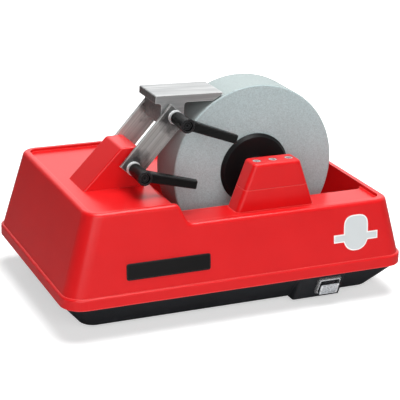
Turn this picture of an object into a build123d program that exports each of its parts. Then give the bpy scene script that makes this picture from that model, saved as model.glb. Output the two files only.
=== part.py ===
from build123d import *
import os
from math import cos, radians, sin, tan

os.makedirs("parts", exist_ok=True)

# Wet sharpening machine, in millimetres.
# X runs along the body with the stone to the right, -Y is the front, +Z is up.
# The origin is on the bench, under the middle of the body.

# Body, outside
body_length = 313.0
body_depth = 202.0
corner_radius = 18.0
top_corner_radius = 14.0
foot_height = 5.0
tray_height = 24.5
skirt_height = 9.5
skirt_step = 2.0
deck_rise = 68.0
ledge_drop = 17.0
end_draft = 15.2
side_draft = 5.9
step_x = -57.7
step_run = 9.3
step_round = 5.0
top_edge_round = 3.5
skirt_edge_round = 1.6
rim_width = 5.5
rim_height = 3.0
rim_corner = 9.0
wall = 3.0

# Stone, flanges and axle
stone_diameter = 150.0
stone_width = 40.0
stone_y = -10.5
stone_edge = 1.0
axle_x = 38.4
axle_z = 108.3
axle_diameter = 12.0
journal_diameter = 10.0
flange_diameter = 64.0
flange_rim = 3.5
flange_bevel = 2.5
flange_hub_diameter = 24.0
flange_hub = 2.0
nut_across_flats = 19.0
nut_thickness = 8.0
nut_bevel = 1.0
collar_step = 3.0
collar_width = 4.0
bearing_diameter = 22.0
bearing_width = 6.0
bearing_race = 2.2
seal_diameter = 20.0
seal_width = 4.0
seal_lip = 1.5
shield_sink = 0.4

# Trough
trough_front_gap = 24.5
trough_rear_gap = 23.5
trough_floor_gap = 4.3
trough_corner = 8.0
trough_draft = 2.0
trough_floor_round = 5.0

# Bearing post and rear tower
post_foot_half = 36.5
post_depth = 21.0
post_rise = 19.7
post_lean = 20.1
post_round = 4.0
post_top_round = 3.0
cap_split_drop = 2.5
cap_screw_pitch = 15.0
cap_screw_head = 7.5
cap_screw_shank = 4.0
cap_screw_head_depth = 2.6
cap_screw_sink = 0.4
cap_seam = 0.4
cap_screw_grip = 10.0
lock_screw_gap = 0.5
post_front_wall = 7.5
tower_foot_half = 35.0
tower_lean = 14.0
tower_bearing_wall = 13.0

# Belt drive and motor
pulley_diameter = 39.0
pulley_width = 8.0
motor_pulley_diameter = 13.0
pulley_side_gap = 1.5
belt_thickness = 1.4
belt_width = 6.4
belt_rib_count = 3
belt_rib_width = 1.0
belt_rib_depth = 0.9
belt_rib_pitch = 2.1
motor_diameter = 60.0
motor_length = 28.5
motor_wall = 2.0
motor_top_gap = 1.5
motor_shaft_diameter = 6.0
motor_bearing_diameter = 15.0
motor_bearing_width = 5.0
rotor_diameter = 40.0
rotor_end_gap = 1.0
rotor_gap = 0.5
mount_thickness = 2.5
mount_half_width = 33.0
mount_foot_gap = 2.8
mount_corner = 4.0
mount_screw_pitch = 26.0
motor_screw_circle = 44.0
motor_screw = 3.0
motor_screw_head = 5.5
motor_screw_head_depth = 2.0
motor_face = 3.0
cover_thickness = 2.5
motor_vent_circle = 38.0
motor_vent = 5.0
winding_height = 2.0

# Tool rest
rest_gap = 2.6
rest_angle = 24.2
rest_tilt = 1.6
table_reach = 45.4
table_heel = 15.7
table_top = 17.0
table_thickness = 6.5
table_undercut = 8.5
table_tip = 0.8
table_round = 1.5
stem_round = 3.0
stem_width = 20.6
stem_drop = 8.3
arm_span = 55.2
arm_angle = 48.4
arm_width = 20.0
arm_thickness = 3.0
arm_end = 6.0
arm_edge = 0.4
rest_width = 37.5

# Wedge bracket, measured from the lower pivot
bracket_left = 42.0
bracket_crest_left = 8.5
bracket_crest_right = 8.0
bracket_right = 13.0
bracket_crest = 16.5
bracket_round = 4.0
bracket_edge_round = 1.5
bracket_boss_left = 26.0
bracket_boss_right = 4.0
bracket_boss_diameter = 9.0
bracket_screw_shank = 3.5
bracket_screw_head = 7.0
bracket_screw_head_depth = 2.5
bracket_screw_bite = 8.0

# Clamp bolts and levers
bolt_diameter = 5.0
bolt_head_diameter = 14.0
bolt_head = 4.0
bolt_tail = 5.0
sleeve_diameter = 11.0
spacer_diameter = 12.0
spacer_length = 3.0
washer_diameter = 12.4
washer_thickness = 0.8
insert_flange_diameter = 11.6
insert_flange = 2.4
insert_diameter = 8.0
insert_length = 13.0
lever_hub_foot = 10.8
lever_hub_top = 12.6
lever_hub_bevel = 0.6
lever_hub_height = 24.5
lever_web = 1.6
lever_eye = 8.8
lever_length = 45.0
lever_rise = 15.5
lever_root = 17.9
lever_root_size = 8.6
lever_tip_width = 7.4
lever_tip_height = 6.2
lever_round = 1.0
lever_tip_round = 1.0
lever_screw_shank = 4.0
lever_screw_head = 7.0
lever_screw_head_depth = 2.5
lever_screw_sink = 1.5
lever_screw_key = 3.0
lever_spring_wire = 0.8
lever_spring_turns = 3
lower_lever_angle = -11.0
upper_lever_angle = -18.5

# Tray, feet and switch
tray_inset = 22.4
tray_top_inset = 2.0
tray_corner = 12.0
tray_edge_round = 2.0
tray_wall = 3.0
tray_side_wall = 3.8
tray_lip_height = 4.5
tray_lip = 2.5
boss_x = 118.0
boss_trough_gap = 7.0
boss_diameter = 12.0
housing_screw_shank = 4.0
housing_screw_head = 7.6
housing_screw_head_depth = 3.0
housing_screw_sink = 8.0
housing_screw_bite = 12.0
foot_x = 105.0
foot_y = 54.0
foot_diameter = 18.0
foot_seat = 1.5
foot_taper = 1.0
foot_screw_shank = 3.5
foot_screw_head = 7.0
foot_screw_head_depth = 2.2
foot_screw_sink = 2.0
foot_boss_diameter = 10.0
foot_boss_height = 6.0
vent_count = 6
vent_x = -50.0
vent_y = -40.0
vent_length = 34.0
vent_width = 3.0
vent_pitch = 8.0
switch_box_left = 53.0
switch_box_width = 45.0
switch_box_inset = 0.8
switch_box_lean = 24.2
switch_box_round = 3.0
switch_x = 82.0
switch_drop = 11.6
bezel_width = 22.0
bezel_height = 17.0
bezel_thickness = 1.8
bezel_round = 1.5
bezel_bevel = 0.5
switch_depth = 14.0
switch_cutout_width = 19.5
switch_cutout_height = 14.5
switch_wall = 1.2
rocker_pin = 2.0
rocker_throw = 9.0
rocker_gap = 0.35
rocker_sink = 0.5
rocker_depth = 3.0
terminal_width = 4.8
terminal_length = 6.0
terminal_thickness = 0.8
terminal_pitch = 6.0

# Electrical pieces in the tray, and the cable bush
capacitor_diameter = 28.0
capacitor_length = 56.0
capacitor_x = -92.0
capacitor_y = 10.0
capacitor_neck = 5.0
clip_thickness = 1.2
clip_width = 12.0
clip_foot = 9.0
block_x = -30.0
block_wall_gap = 5.8
block_length = 36.0
block_depth = 17.0
block_height = 14.0
block_poles = 3
block_screw = 4.5
bush_x = -112.0
bush_z = 52.0
bush_diameter = 16.0
bush_flange = 2.4
bush_neck_diameter = 12.5
bush_bore = 7.5
bush_tail = 6.0
bush_bevel = 0.6

# Clearances
running_fit = 0.05
free_gap = 0.3
seat_gap = 0.05
lip_gap = 0.3
lever_slide_fit = 0.08
axle_hole_gap = 0.5

# Heights and outlines that follow from the sizes above
tray_z = foot_height
skirt_z = tray_z + tray_height
crease_z = skirt_z + skirt_height
deck_rim_z = crease_z + deck_rise
ledge_rim_z = deck_rim_z - ledge_drop
deck_z = deck_rim_z - rim_height
ledge_z = ledge_rim_z - rim_height
reach = body_length

stone_radius = stone_diameter / 2
stone_front = stone_y - stone_width / 2
stone_rear = stone_y + stone_width / 2
trough_front = stone_front - trough_front_gap
trough_rear = stone_rear + trough_rear_gap
trough_z = axle_z - stone_radius - trough_floor_gap
boss_y = boss_trough_gap - trough_front
split_z = axle_z - cap_split_drop


def half_length(z):
    """Half the drafted body's length at height z."""
    return body_length / 2 - skirt_step - (z - crease_z) * tan(radians(end_draft))


def half_depth(z):
    """Half the drafted body's depth at height z."""
    return body_depth / 2 - skirt_step - (z - crease_z) * tan(radians(side_draft))


bush_plane = Plane(
    origin=(bush_x, half_depth(bush_z), bush_z),
    x_dir=(-1, 0, 0),
    z_dir=(0, cos(radians(side_draft)), sin(radians(side_draft))),
)

recess_left = -(half_length(deck_rim_z) - rim_width)
recess_right = half_length(ledge_rim_z) - rim_width


def outline(z, x_low, x_high, y_low, y_high, radius):
    """Rounded rectangle lying at height z between two X and two Y limits."""
    with BuildSketch(Plane.XY.offset(z)) as drawn:
        with Locations(((x_low + x_high) / 2, (y_low + y_high) / 2)):
            RectangleRounded(x_high - x_low, y_high - y_low, radius)
    return drawn.sketch


def centred_outline(z, half_x, half_y, radius):
    """Rounded rectangle at height z about the middle of the machine."""
    return outline(z, -half_x, half_x, -half_y, half_y, radius)


def drafted_body(z_low, z_high, inset, mode=Mode.ADD):
    """Block between the body's four drafted walls, each moved in by inset."""
    slope = (top_corner_radius - corner_radius + skirt_step) / deck_rise
    low_radius = corner_radius - skirt_step + (z_low - crease_z) * slope - inset
    high_radius = corner_radius - skirt_step + (z_high - crease_z) * slope - inset
    low = centred_outline(z_low, half_length(z_low) - inset, half_depth(z_low) - inset, low_radius)
    high = centred_outline(z_high, half_length(z_high) - inset, half_depth(z_high) - inset, high_radius)
    loft([low, high], ruled=True, mode=mode)


def facing_front(y):
    """Upright plane across the machine at depth y, looking out of the front."""
    return Plane.XZ.offset(-y)


def above_step(drop, mode):
    """All space above the deck and ledge, lowered by drop, with the slope between them."""
    with BuildSketch(facing_front(body_depth)) as profile:
        with BuildLine():
            top = FilletPolyline(
                (-reach, deck_rim_z - drop),
                (step_x, deck_rim_z - drop),
                (step_x + step_run, ledge_rim_z - drop),
                (reach, ledge_rim_z - drop),
                radius=step_round,
            )
            Polyline(top @ 1, (reach, deck_rim_z + reach), (-reach, deck_rim_z + reach), top @ 0)
        make_face()
    extrude(profile.sketch, amount=2 * body_depth, mode=mode)


def trough_block(grow, z_floor, z_top, mode):
    """The trough's space, with walls moved out by grow."""
    draft_in = (ledge_z - z_floor) * tan(radians(trough_draft))
    left, right = step_x - grow, recess_right + grow
    front, rear = trough_front - grow, trough_rear + grow
    floor = outline(
        z_floor, left + draft_in, right - draft_in, front + draft_in, rear - draft_in, trough_corner + grow
    )
    mouth = outline(ledge_z, left, right, front, rear, trough_corner + grow)
    loft([floor, mouth], ruled=True, mode=mode)
    if z_top > ledge_z:
        extrude(mouth, amount=z_top - ledge_z, mode=mode)


def turned(points, x, z, mode=Mode.ADD):
    """Solid turned about a line along Y through (x, z), from points of depth and radius."""
    plane = Plane(origin=(x, 0, z), x_dir=(0, 1, 0), z_dir=(1, 0, 0))
    with BuildSketch(plane) as section:
        with BuildLine():
            Polyline(*points, close=True)
        make_face()
    revolve(section.sketch, axis=Axis((x, 0, z), (0, 1, 0)), mode=mode)


def ring_along_y(y_front, y_rear, outer, inner, x, z, mode=Mode.ADD):
    """Ring with a bore along Y, from outer and inner diameters."""
    with BuildSketch(facing_front(y_rear)) as section:
        with Locations((x, z)):
            Circle(outer / 2)
            if inner > 0:
                Circle(inner / 2, mode=Mode.SUBTRACT)
    extrude(section.sketch, amount=y_rear - y_front, mode=mode)


def upright(x, y, z_low, z_high, diameter, mode=Mode.ADD):
    """Upright round post or hole."""
    with BuildSketch(Plane.XY.offset(z_low)) as section:
        with Locations((x, y)):
            Circle(diameter / 2)
    extrude(section.sketch, amount=z_high - z_low, mode=mode)


def finish(builder, name):
    """Label a finished piece and write it out."""
    builder.part.label = name
    export_step(builder.part, "parts/" + name + ".step")


# Bearing post at the front and tower at the rear, both split near axle height

post_front = trough_front - post_depth
post_top = axle_z + post_rise
post_bearing_front = post_front + post_front_wall
post_bearing_rear = post_bearing_front + bearing_width
post_screw_y = (post_bearing_front + post_bearing_rear) / 2

pulley_front = trough_rear + wall + pulley_side_gap
pulley_rear = pulley_front + pulley_width
tower_wall_front = pulley_rear + pulley_side_gap
tower_rear = tower_wall_front + tower_bearing_wall
tower_bearing_front = tower_wall_front + (tower_bearing_wall - bearing_width) / 2
tower_bearing_rear = tower_bearing_front + bearing_width
tower_screw_y = (tower_bearing_front + tower_bearing_rear) / 2
mount_front = tower_wall_front
mount_rear = mount_front + mount_thickness
tower_top = axle_z + pulley_diameter / 2 + belt_thickness + pulley_side_gap + wall


def leaning_block(foot_half, lean, y_front, y_rear, z_low, z_high, inset, mode=Mode.ADD):
    """Upright block whose two ends lean in, measured from the ledge."""
    slope = tan(radians(lean))
    low_half = foot_half - (z_low - ledge_z) * slope - inset
    high_half = foot_half - (z_high - ledge_z) * slope - inset
    with BuildSketch(facing_front(y_rear)) as side:
        with BuildLine():
            Polyline(
                (axle_x - low_half, z_low),
                (axle_x + low_half, z_low),
                (axle_x + high_half, z_high),
                (axle_x - high_half, z_high),
                close=True,
            )
        make_face()
    extrude(side.sketch, amount=y_rear - y_front, mode=mode)


def round_corners(builder):
    """Round the four upright corners of a leaning block."""
    fillet(builder.edges().filter_by(lambda e: e.bounding_box().size.Z > cap_seam), post_round)


def tower_hollow(z_low, z_high):
    """Room for the pulley and belt inside the tower."""
    leaning_block(
        tower_foot_half, tower_lean, trough_rear + wall, tower_wall_front, z_low, z_high, wall, Mode.SUBTRACT
    )


def bearing_seat(y_front, y_rear, y_hole_front, y_hole_rear):
    """Bearing pocket with straight sides below the axle, and the hole for the axle."""
    pocket = bearing_diameter + 2 * seat_gap
    hole = axle_diameter + 2 * axle_hole_gap
    steps = ((y_front - seat_gap, y_rear + seat_gap, pocket), (y_hole_front, y_hole_rear, hole))
    for front, rear, size in steps:
        ring_along_y(front, rear, size, 0, axle_x, axle_z, Mode.SUBTRACT)
        with BuildSketch(facing_front(rear)) as drop:
            with Locations((axle_x, axle_z - cap_split_drop / 2)):
                Rectangle(size, cap_split_drop)
        extrude(drop.sketch, amount=rear - front, mode=Mode.SUBTRACT)


def drill_cap(y, z_top):
    """Screw holes in a bearing cap: two beside the bearing and one over it."""
    for x in (axle_x - cap_screw_pitch, axle_x, axle_x + cap_screw_pitch):
        low = split_z if x != axle_x else axle_z
        upright(x, y, low, z_top, cap_screw_shank + 2 * seat_gap, Mode.SUBTRACT)
        seat = z_top - cap_screw_sink - cap_screw_head_depth
        upright(x, y, seat, z_top, cap_screw_head + 2 * seat_gap, Mode.SUBTRACT)


def drill_stub(y):
    """Threaded holes for the long cap screws in the moulded half."""
    for x in (axle_x - cap_screw_pitch, axle_x + cap_screw_pitch):
        z_end = split_z - cap_screw_grip - seat_gap
        upright(x, y, z_end, split_z, cap_screw_shank + 2 * seat_gap, Mode.SUBTRACT)


# Places of the tool rest, worked back from the stone

tip_x = axle_x - (stone_radius + rest_gap) * sin(radians(rest_angle))
tip_z = axle_z + (stone_radius + rest_gap) * cos(radians(rest_angle))
tilt = radians(rest_tilt)
upper_x = tip_x - table_reach * cos(tilt) - table_top * sin(tilt)
upper_z = tip_z + table_reach * sin(tilt) - table_top * cos(tilt)
lower_x = upper_x - arm_span * cos(radians(arm_angle))
lower_z = upper_z - arm_span * sin(radians(arm_angle))
rest_front = stone_y - rest_width / 2
rest_rear = stone_y + rest_width / 2
front_arm_rear = rest_front - free_gap - spacer_length
front_arm_front = front_arm_rear - arm_thickness
rear_arm_front = rest_rear + free_gap
rear_arm_rear = rear_arm_front + arm_thickness
lever_face = front_arm_front - washer_thickness


def bracket_profile(inset, z_foot):
    """Side view of the wedge bracket, with its slope, crest and back moved in by inset."""
    with BuildSketch(facing_front(rest_rear - inset)) as profile:
        with BuildLine():
            Polyline(
                (lower_x - bracket_left + 2 * inset, z_foot),
                (lower_x - bracket_crest_left, lower_z + bracket_crest - inset),
                (lower_x + bracket_crest_right - inset, lower_z + bracket_crest - inset),
                (lower_x + bracket_right - inset, z_foot),
                close=True,
            )
        make_face()
    return profile.sketch


bracket_screw_places = [
    (lower_x - bracket_boss_left, stone_y),
    (lower_x + bracket_boss_right, stone_y),
]
bracket_boss_z = deck_z + bracket_screw_bite + free_gap

with BuildPart() as bracket_bosses:
    for x, y in bracket_screw_places:
        upright(x, y, deck_z, lower_z + bracket_crest, bracket_boss_diameter)
    extrude(bracket_profile(wall / 2, deck_z), amount=rest_width - wall, mode=Mode.INTERSECT)

with BuildPart() as rest_bracket:
    extrude(bracket_profile(0, deck_z), amount=rest_width)
    fillet(rest_bracket.edges().filter_by(Axis.Y).group_by(Axis.Z)[-1], bracket_round)
    fillet(rest_bracket.faces().sort_by(Axis.Z)[-1].edges().filter_by(Axis.X), bracket_edge_round)
    extrude(bracket_profile(wall, deck_z), amount=rest_width - 2 * wall, mode=Mode.SUBTRACT)
    add(bracket_bosses.part)
    for x, y in bracket_screw_places:
        upright(x, y, deck_z, bracket_boss_z, bracket_screw_shank + 2 * seat_gap, Mode.SUBTRACT)
    ring_along_y(rest_front, rest_rear, sleeve_diameter + 2 * seat_gap, 0, lower_x, lower_z, Mode.SUBTRACT)
finish(rest_bracket, "rest_bracket")

with BuildPart() as bracket_screws:
    for x, y in bracket_screw_places:
        seat = deck_z - wall
        upright(x, y, seat - bracket_screw_head_depth, seat, bracket_screw_head)
        upright(x, y, seat, deck_z + bracket_screw_bite, bracket_screw_shank)
finish(bracket_screws, "bracket_screws")

with BuildPart() as hollow:
    half_x = body_length / 2 - wall
    half_y = body_depth / 2 - wall
    extrude(centred_outline(skirt_z - wall, half_x, half_y, corner_radius - wall), amount=skirt_height)
    drafted_body(crease_z - wall, deck_z, wall)
    above_step(rim_height + wall, Mode.SUBTRACT)
    trough_block(wall, trough_z - wall, deck_z, Mode.SUBTRACT)

with BuildPart() as recess:
    half_y = half_depth(deck_rim_z) - rim_width
    extrude(outline(ledge_z - wall, recess_left, recess_right, -half_y, half_y, rim_corner), amount=deck_rise)
    above_step(rim_height, Mode.INTERSECT)

with BuildPart() as trough:
    trough_block(0, trough_z, deck_rim_z + rim_height, Mode.ADD)
    fillet(trough.faces().sort_by(Axis.Z)[0].edges(), trough_floor_round)

with BuildPart() as post_foot:
    leaning_block(post_foot_half, post_lean, post_front, trough_front, ledge_z - wall / 2, split_z, 0)
    round_corners(post_foot)

with BuildPart() as tower_foot:
    leaning_block(tower_foot_half, tower_lean, trough_rear, tower_rear, ledge_z - wall / 2, split_z, 0)
    round_corners(tower_foot)

with BuildPart() as upper_housing:
    extrude(centred_outline(skirt_z, body_length / 2, body_depth / 2, corner_radius), amount=skirt_height)
    fillet(upper_housing.faces().sort_by(Axis.Z)[-1].edges(), skirt_edge_round)
    drafted_body(crease_z - wall, deck_rim_z + rim_height, 0)
    above_step(0, Mode.SUBTRACT)
    rim_edges = upper_housing.edges().filter_by(lambda e: e.bounding_box().min.Z > ledge_rim_z - wall)
    inner_x = half_length(deck_rim_z) - wall
    step_edges = rim_edges.filter_by(Axis.Y).filter_by(lambda e: abs(e.center().X) < inner_x)
    fillet(rim_edges - step_edges, top_edge_round)
    add(recess.part, mode=Mode.SUBTRACT)
    trough_block(wall, trough_z - wall, ledge_z - wall, Mode.ADD)
    add(trough.part, mode=Mode.SUBTRACT)
    add(hollow.part, mode=Mode.SUBTRACT)
    for x in (-boss_x, boss_x):
        roof = (deck_z if x < step_x else ledge_z) - wall / 2
        for y in (-boss_y, boss_y):
            upright(x, y, skirt_z, roof, boss_diameter)
    add(post_foot.part)
    add(tower_foot.part)
    tower_hollow(ledge_z - 2 * wall, split_z)
    bearing_seat(post_bearing_front, post_bearing_rear, post_bearing_rear, trough_front)
    bearing_seat(tower_bearing_front, tower_bearing_rear, trough_rear, tower_bearing_front)
    drill_stub(post_screw_y)
    drill_stub(tower_screw_y)
    for x, y in bracket_screw_places:
        upright(x, y, deck_z - wall, deck_z, bracket_screw_shank + 2 * seat_gap, Mode.SUBTRACT)
    for x in (-boss_x, boss_x):
        for y in (-boss_y, boss_y):
            hole = housing_screw_shank + 2 * seat_gap
            upright(x, y, skirt_z, skirt_z + housing_screw_bite + seat_gap, hole, Mode.SUBTRACT)
    with BuildSketch(bush_plane.offset(wall)):
        Circle(bush_neck_diameter / 2 + seat_gap)
    extrude(amount=-3 * wall, mode=Mode.SUBTRACT)
finish(upper_housing, "upper_housing")

with BuildPart() as front_bearing_cap:
    leaning_block(post_foot_half, post_lean, post_front, trough_front, split_z, post_top, 0)
    round_corners(front_bearing_cap)
    fillet(front_bearing_cap.faces().sort_by(Axis.Z)[-1].edges(), post_top_round)
    chamfer(front_bearing_cap.faces().sort_by(Axis.Z)[0].edges(), cap_seam)
    bearing_seat(post_bearing_front, post_bearing_rear, post_bearing_rear, trough_front)
    drill_cap(post_screw_y, post_top)
finish(front_bearing_cap, "front_bearing_cap")

with BuildPart() as rear_tower_cap:
    leaning_block(tower_foot_half, tower_lean, trough_rear, tower_rear, split_z, tower_top, 0)
    round_corners(rear_tower_cap)
    fillet(rear_tower_cap.faces().sort_by(Axis.Z)[-1].edges(), post_top_round)
    chamfer(rear_tower_cap.faces().sort_by(Axis.Z)[0].edges(), cap_seam)
    tower_hollow(split_z, tower_top - wall)
    bearing_seat(tower_bearing_front, tower_bearing_rear, trough_rear, tower_bearing_front)
    drill_cap(tower_screw_y, tower_top)
finish(rear_tower_cap, "rear_tower_cap")


def cap_screws(y, z_top):
    """Two long screws and the short one that locks the bearing's outer ring."""
    head_top = z_top - cap_screw_sink
    seat = head_top - cap_screw_head_depth
    for x in (axle_x - cap_screw_pitch, axle_x, axle_x + cap_screw_pitch):
        low = split_z - cap_screw_grip
        if x == axle_x:
            low = axle_z + bearing_diameter / 2 + lock_screw_gap
        upright(x, y, low, seat, cap_screw_shank)
        upright(x, y, seat, head_top, cap_screw_head)


with BuildPart() as front_cap_screws:
    cap_screws(post_screw_y, post_top)
    for x in (axle_x - cap_screw_pitch, axle_x, axle_x + cap_screw_pitch):
        with BuildSketch(Plane.XY.offset(post_top - cap_screw_sink)):
            with Locations((x, post_screw_y)):
                RegularPolygon(cap_screw_shank / 2, 6)
        extrude(amount=-cap_screw_head_depth / 2, mode=Mode.SUBTRACT)
finish(front_cap_screws, "front_cap_screws")

with BuildPart() as rear_cap_screws:
    cap_screws(tower_screw_y, tower_top)
finish(rear_cap_screws, "rear_cap_screws")


# Tray under the housing

box_top_y = body_depth / 2 - switch_box_inset
tray_floor = tray_z + tray_wall


def tray_half(z, half_body):
    """Half the tapered tray's length or depth at height z, from half the body's."""
    share = (z - tray_z) / tray_height
    return half_body - tray_inset + (tray_inset - tray_top_inset) * share


def tapered_tray(z_low, z_high, inset, mode=Mode.ADD):
    """Block between the tray's four sloping walls, each moved in by inset."""
    sections = []
    for z, radius in ((z_low, tray_corner), (z_high, corner_radius - tray_top_inset)):
        half_x = tray_half(z, body_length / 2) - inset
        half_y = tray_half(z, body_depth / 2) - inset
        sections.append(centred_outline(z, half_x, half_y, radius - inset))
    loft(sections, ruled=True, mode=mode)


def switch_box_front(z):
    """Depth of the switch box's leaning face at height z."""
    return -box_top_y + (skirt_z - z) * tan(radians(switch_box_lean))


def switch_box_block(inset, z_low, z_high, mode=Mode.ADD):
    """Switch box in front of the tray, with its face and sides moved in by inset."""
    back = inset + tray_side_wall - tray_half(tray_z, body_depth / 2)
    with BuildSketch(Plane.YZ.offset(switch_box_left + inset)) as profile:
        with BuildLine():
            Polyline(
                (switch_box_front(z_low) + inset, z_low),
                (back, z_low),
                (back, z_high),
                (switch_box_front(z_high) + inset, z_high),
                close=True,
            )
        make_face()
    extrude(profile.sketch, amount=switch_box_width - 2 * inset, mode=mode)


lean = radians(switch_box_lean)
switch_plane = Plane(
    origin=(switch_x, -box_top_y + switch_drop * sin(lean), skirt_z - switch_drop * cos(lean)),
    x_dir=(1, 0, 0),
    z_dir=(0, -cos(lean), -sin(lean)),
)

with BuildPart() as switch_box:
    switch_box_block(0, tray_z, skirt_z)
    fillet(switch_box.faces().sort_by(Axis.Y)[0].edges().sort_by(Axis.Z)[:-1], switch_box_round)

lip_x = body_length / 2 - wall - lip_gap
lip_y = body_depth / 2 - wall - lip_gap
lip_radius = corner_radius - wall - lip_gap
screw_head_z = tray_z + housing_screw_sink
foot_top_z = tray_z + foot_seat
foot_boss_z = tray_floor + foot_boss_height
boss_places = [(x, y) for x in (-boss_x, boss_x) for y in (-boss_y, boss_y)]
foot_places = [(x, y) for x in (-foot_x, foot_x) for y in (-foot_y, foot_y)]
tray_back = tray_half(tray_floor, body_depth / 2) - tray_side_wall
mount_foot = tray_back - mount_foot_gap - mount_rear
mount_screw_y = mount_rear + mount_foot / 2
block_y = tray_back - block_wall_gap - block_depth / 2
mount_screw_places = [(axle_x + side * mount_screw_pitch, mount_screw_y) for side in (-1, 1)]

with BuildPart() as base_tray:
    tapered_tray(tray_z, skirt_z, 0)
    fillet(base_tray.faces().sort_by(Axis.Z)[0].edges(), tray_edge_round)
    add(switch_box.part)
    tapered_tray(tray_floor, skirt_z, tray_side_wall, Mode.SUBTRACT)
    switch_box_block(tray_wall, tray_floor, skirt_z, Mode.SUBTRACT)
    with BuildSketch(Plane.XY.offset(skirt_z)):
        ring = RectangleRounded(2 * lip_x, 2 * lip_y, lip_radius)
        offset(ring, -tray_lip, mode=Mode.SUBTRACT)
    extrude(amount=tray_lip_height)
    for x, y in boss_places:
        upright(x, y, tray_floor - tray_wall / 2, skirt_z, boss_diameter)
        upright(x, y, tray_z, skirt_z, housing_screw_shank + 2 * seat_gap, Mode.SUBTRACT)
        upright(x, y, tray_z, screw_head_z, housing_screw_head + 2 * free_gap, Mode.SUBTRACT)
    for x, y in foot_places:
        upright(x, y, tray_floor - tray_wall / 3, foot_boss_z, foot_boss_diameter)
        upright(x, y, tray_z, foot_top_z, foot_diameter + 2 * free_gap, Mode.SUBTRACT)
        upright(x, y, tray_z, foot_boss_z, foot_screw_shank + 2 * seat_gap, Mode.SUBTRACT)
    for x, y in mount_screw_places:
        upright(x, y, tray_z, tray_floor, motor_screw + 2 * seat_gap, Mode.SUBTRACT)
    with BuildSketch(Plane.XY.offset(tray_z)):
        with GridLocations(vent_pitch, 0, vent_count, 1):
            with Locations((vent_x, vent_y)):
                SlotOverall(vent_length, vent_width, rotation=90)
    extrude(amount=tray_wall, mode=Mode.SUBTRACT)
    with BuildSketch(switch_plane.offset(tray_wall)):
        Rectangle(switch_cutout_width, switch_cutout_height)
    extrude(amount=-3 * tray_wall, mode=Mode.SUBTRACT)
finish(base_tray, "base_tray")

with BuildPart() as housing_screws:
    for x, y in boss_places:
        upright(x, y, screw_head_z - housing_screw_head_depth, screw_head_z, housing_screw_head)
        upright(x, y, screw_head_z, skirt_z + housing_screw_bite, housing_screw_shank)
finish(housing_screws, "housing_screws")

foot_names = ("foot_front_left", "foot_rear_left", "foot_front_right", "foot_rear_right")
for (x, y), name in zip(foot_places, foot_names):
    with BuildPart() as foot:
        with BuildSketch(Plane.XY):
            with Locations((x, y)):
                Circle(foot_diameter / 2 - foot_taper)
        with BuildSketch(Plane.XY.offset(tray_z)):
            with Locations((x, y)):
                Circle(foot_diameter / 2)
        loft(ruled=True)
        upright(x, y, tray_z, foot_top_z, foot_diameter)
        upright(x, y, 0, foot_top_z, foot_screw_shank + 2 * seat_gap, Mode.SUBTRACT)
        sink = foot_screw_sink + foot_screw_head_depth
        upright(x, y, 0, sink, foot_screw_head + 2 * free_gap, Mode.SUBTRACT)
    finish(foot, name)

with BuildPart() as foot_screws:
    for x, y in foot_places:
        upright(x, y, foot_screw_sink, foot_screw_sink + foot_screw_head_depth, foot_screw_head)
        upright(x, y, foot_screw_sink + foot_screw_head_depth, foot_boss_z - seat_gap, foot_screw_shank)
finish(foot_screws, "foot_screws")

# Rocker switch in the tray's box

switch_inner_width = switch_cutout_width - 2 * (seat_gap + switch_wall)
switch_inner_height = switch_cutout_height - 2 * (seat_gap + switch_wall)
rocker_width = switch_inner_width - 2 * rocker_gap
rocker_radius = switch_inner_height / 2 - rocker_gap
rocker_plane = switch_plane.offset(-rocker_sink)
rocker_axis = Axis(rocker_plane.origin, rocker_plane.x_dir)

with BuildPart() as switch_body:
    with BuildSketch(switch_plane):
        RectangleRounded(bezel_width, bezel_height, bezel_round)
    extrude(amount=bezel_thickness)
    outward = Axis(switch_plane.origin, switch_plane.z_dir)
    chamfer(switch_body.faces().sort_by(outward)[-1].edges(), bezel_bevel)
    with BuildSketch(switch_plane):
        Rectangle(switch_cutout_width - 2 * seat_gap, switch_cutout_height - 2 * seat_gap)
    extrude(amount=-switch_depth)
    with BuildSketch(switch_plane.offset(bezel_thickness)):
        Rectangle(switch_inner_width, switch_inner_height)
    extrude(amount=switch_wall - switch_depth - bezel_thickness, mode=Mode.SUBTRACT)
    with BuildSketch(Plane(rocker_plane.origin, x_dir=rocker_plane.y_dir, z_dir=rocker_plane.x_dir)):
        Circle(rocker_pin / 2 + running_fit)
    extrude(amount=switch_cutout_width / 2 - 2 * seat_gap, both=True, mode=Mode.SUBTRACT)
    with BuildSketch(switch_plane.offset(-switch_depth)):
        with GridLocations(terminal_pitch, 0, 3, 1):
            Rectangle(terminal_thickness, terminal_width)
    extrude(amount=-terminal_length)
finish(switch_body, "switch_body")

with BuildPart() as switch_rocker:
    side_plane = Plane(rocker_plane.origin, x_dir=rocker_plane.y_dir, z_dir=rocker_plane.x_dir)
    crest = rocker_sink + bezel_thickness - rocker_gap
    flare = rocker_radius * tan(radians(rocker_throw))
    with BuildSketch(side_plane):
        with BuildLine():
            Polyline(
                (-rocker_radius, crest + flare),
                (0, crest),
                (rocker_radius, crest + flare),
                (rocker_radius, -rocker_depth),
                (-rocker_radius, -rocker_depth),
                close=True,
            )
        make_face()
        Circle(rocker_radius, mode=Mode.INTERSECT)
    extrude(amount=rocker_width / 2, both=True)
    with BuildSketch(side_plane):
        Circle(rocker_pin / 2)
    extrude(amount=switch_cutout_width / 2 - seat_gap - free_gap, both=True)
switch_rocker.part = switch_rocker.part.rotate(rocker_axis, -rocker_throw)
finish(switch_rocker, "switch_rocker")

# Stone, flanges and axle, which turn together

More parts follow.
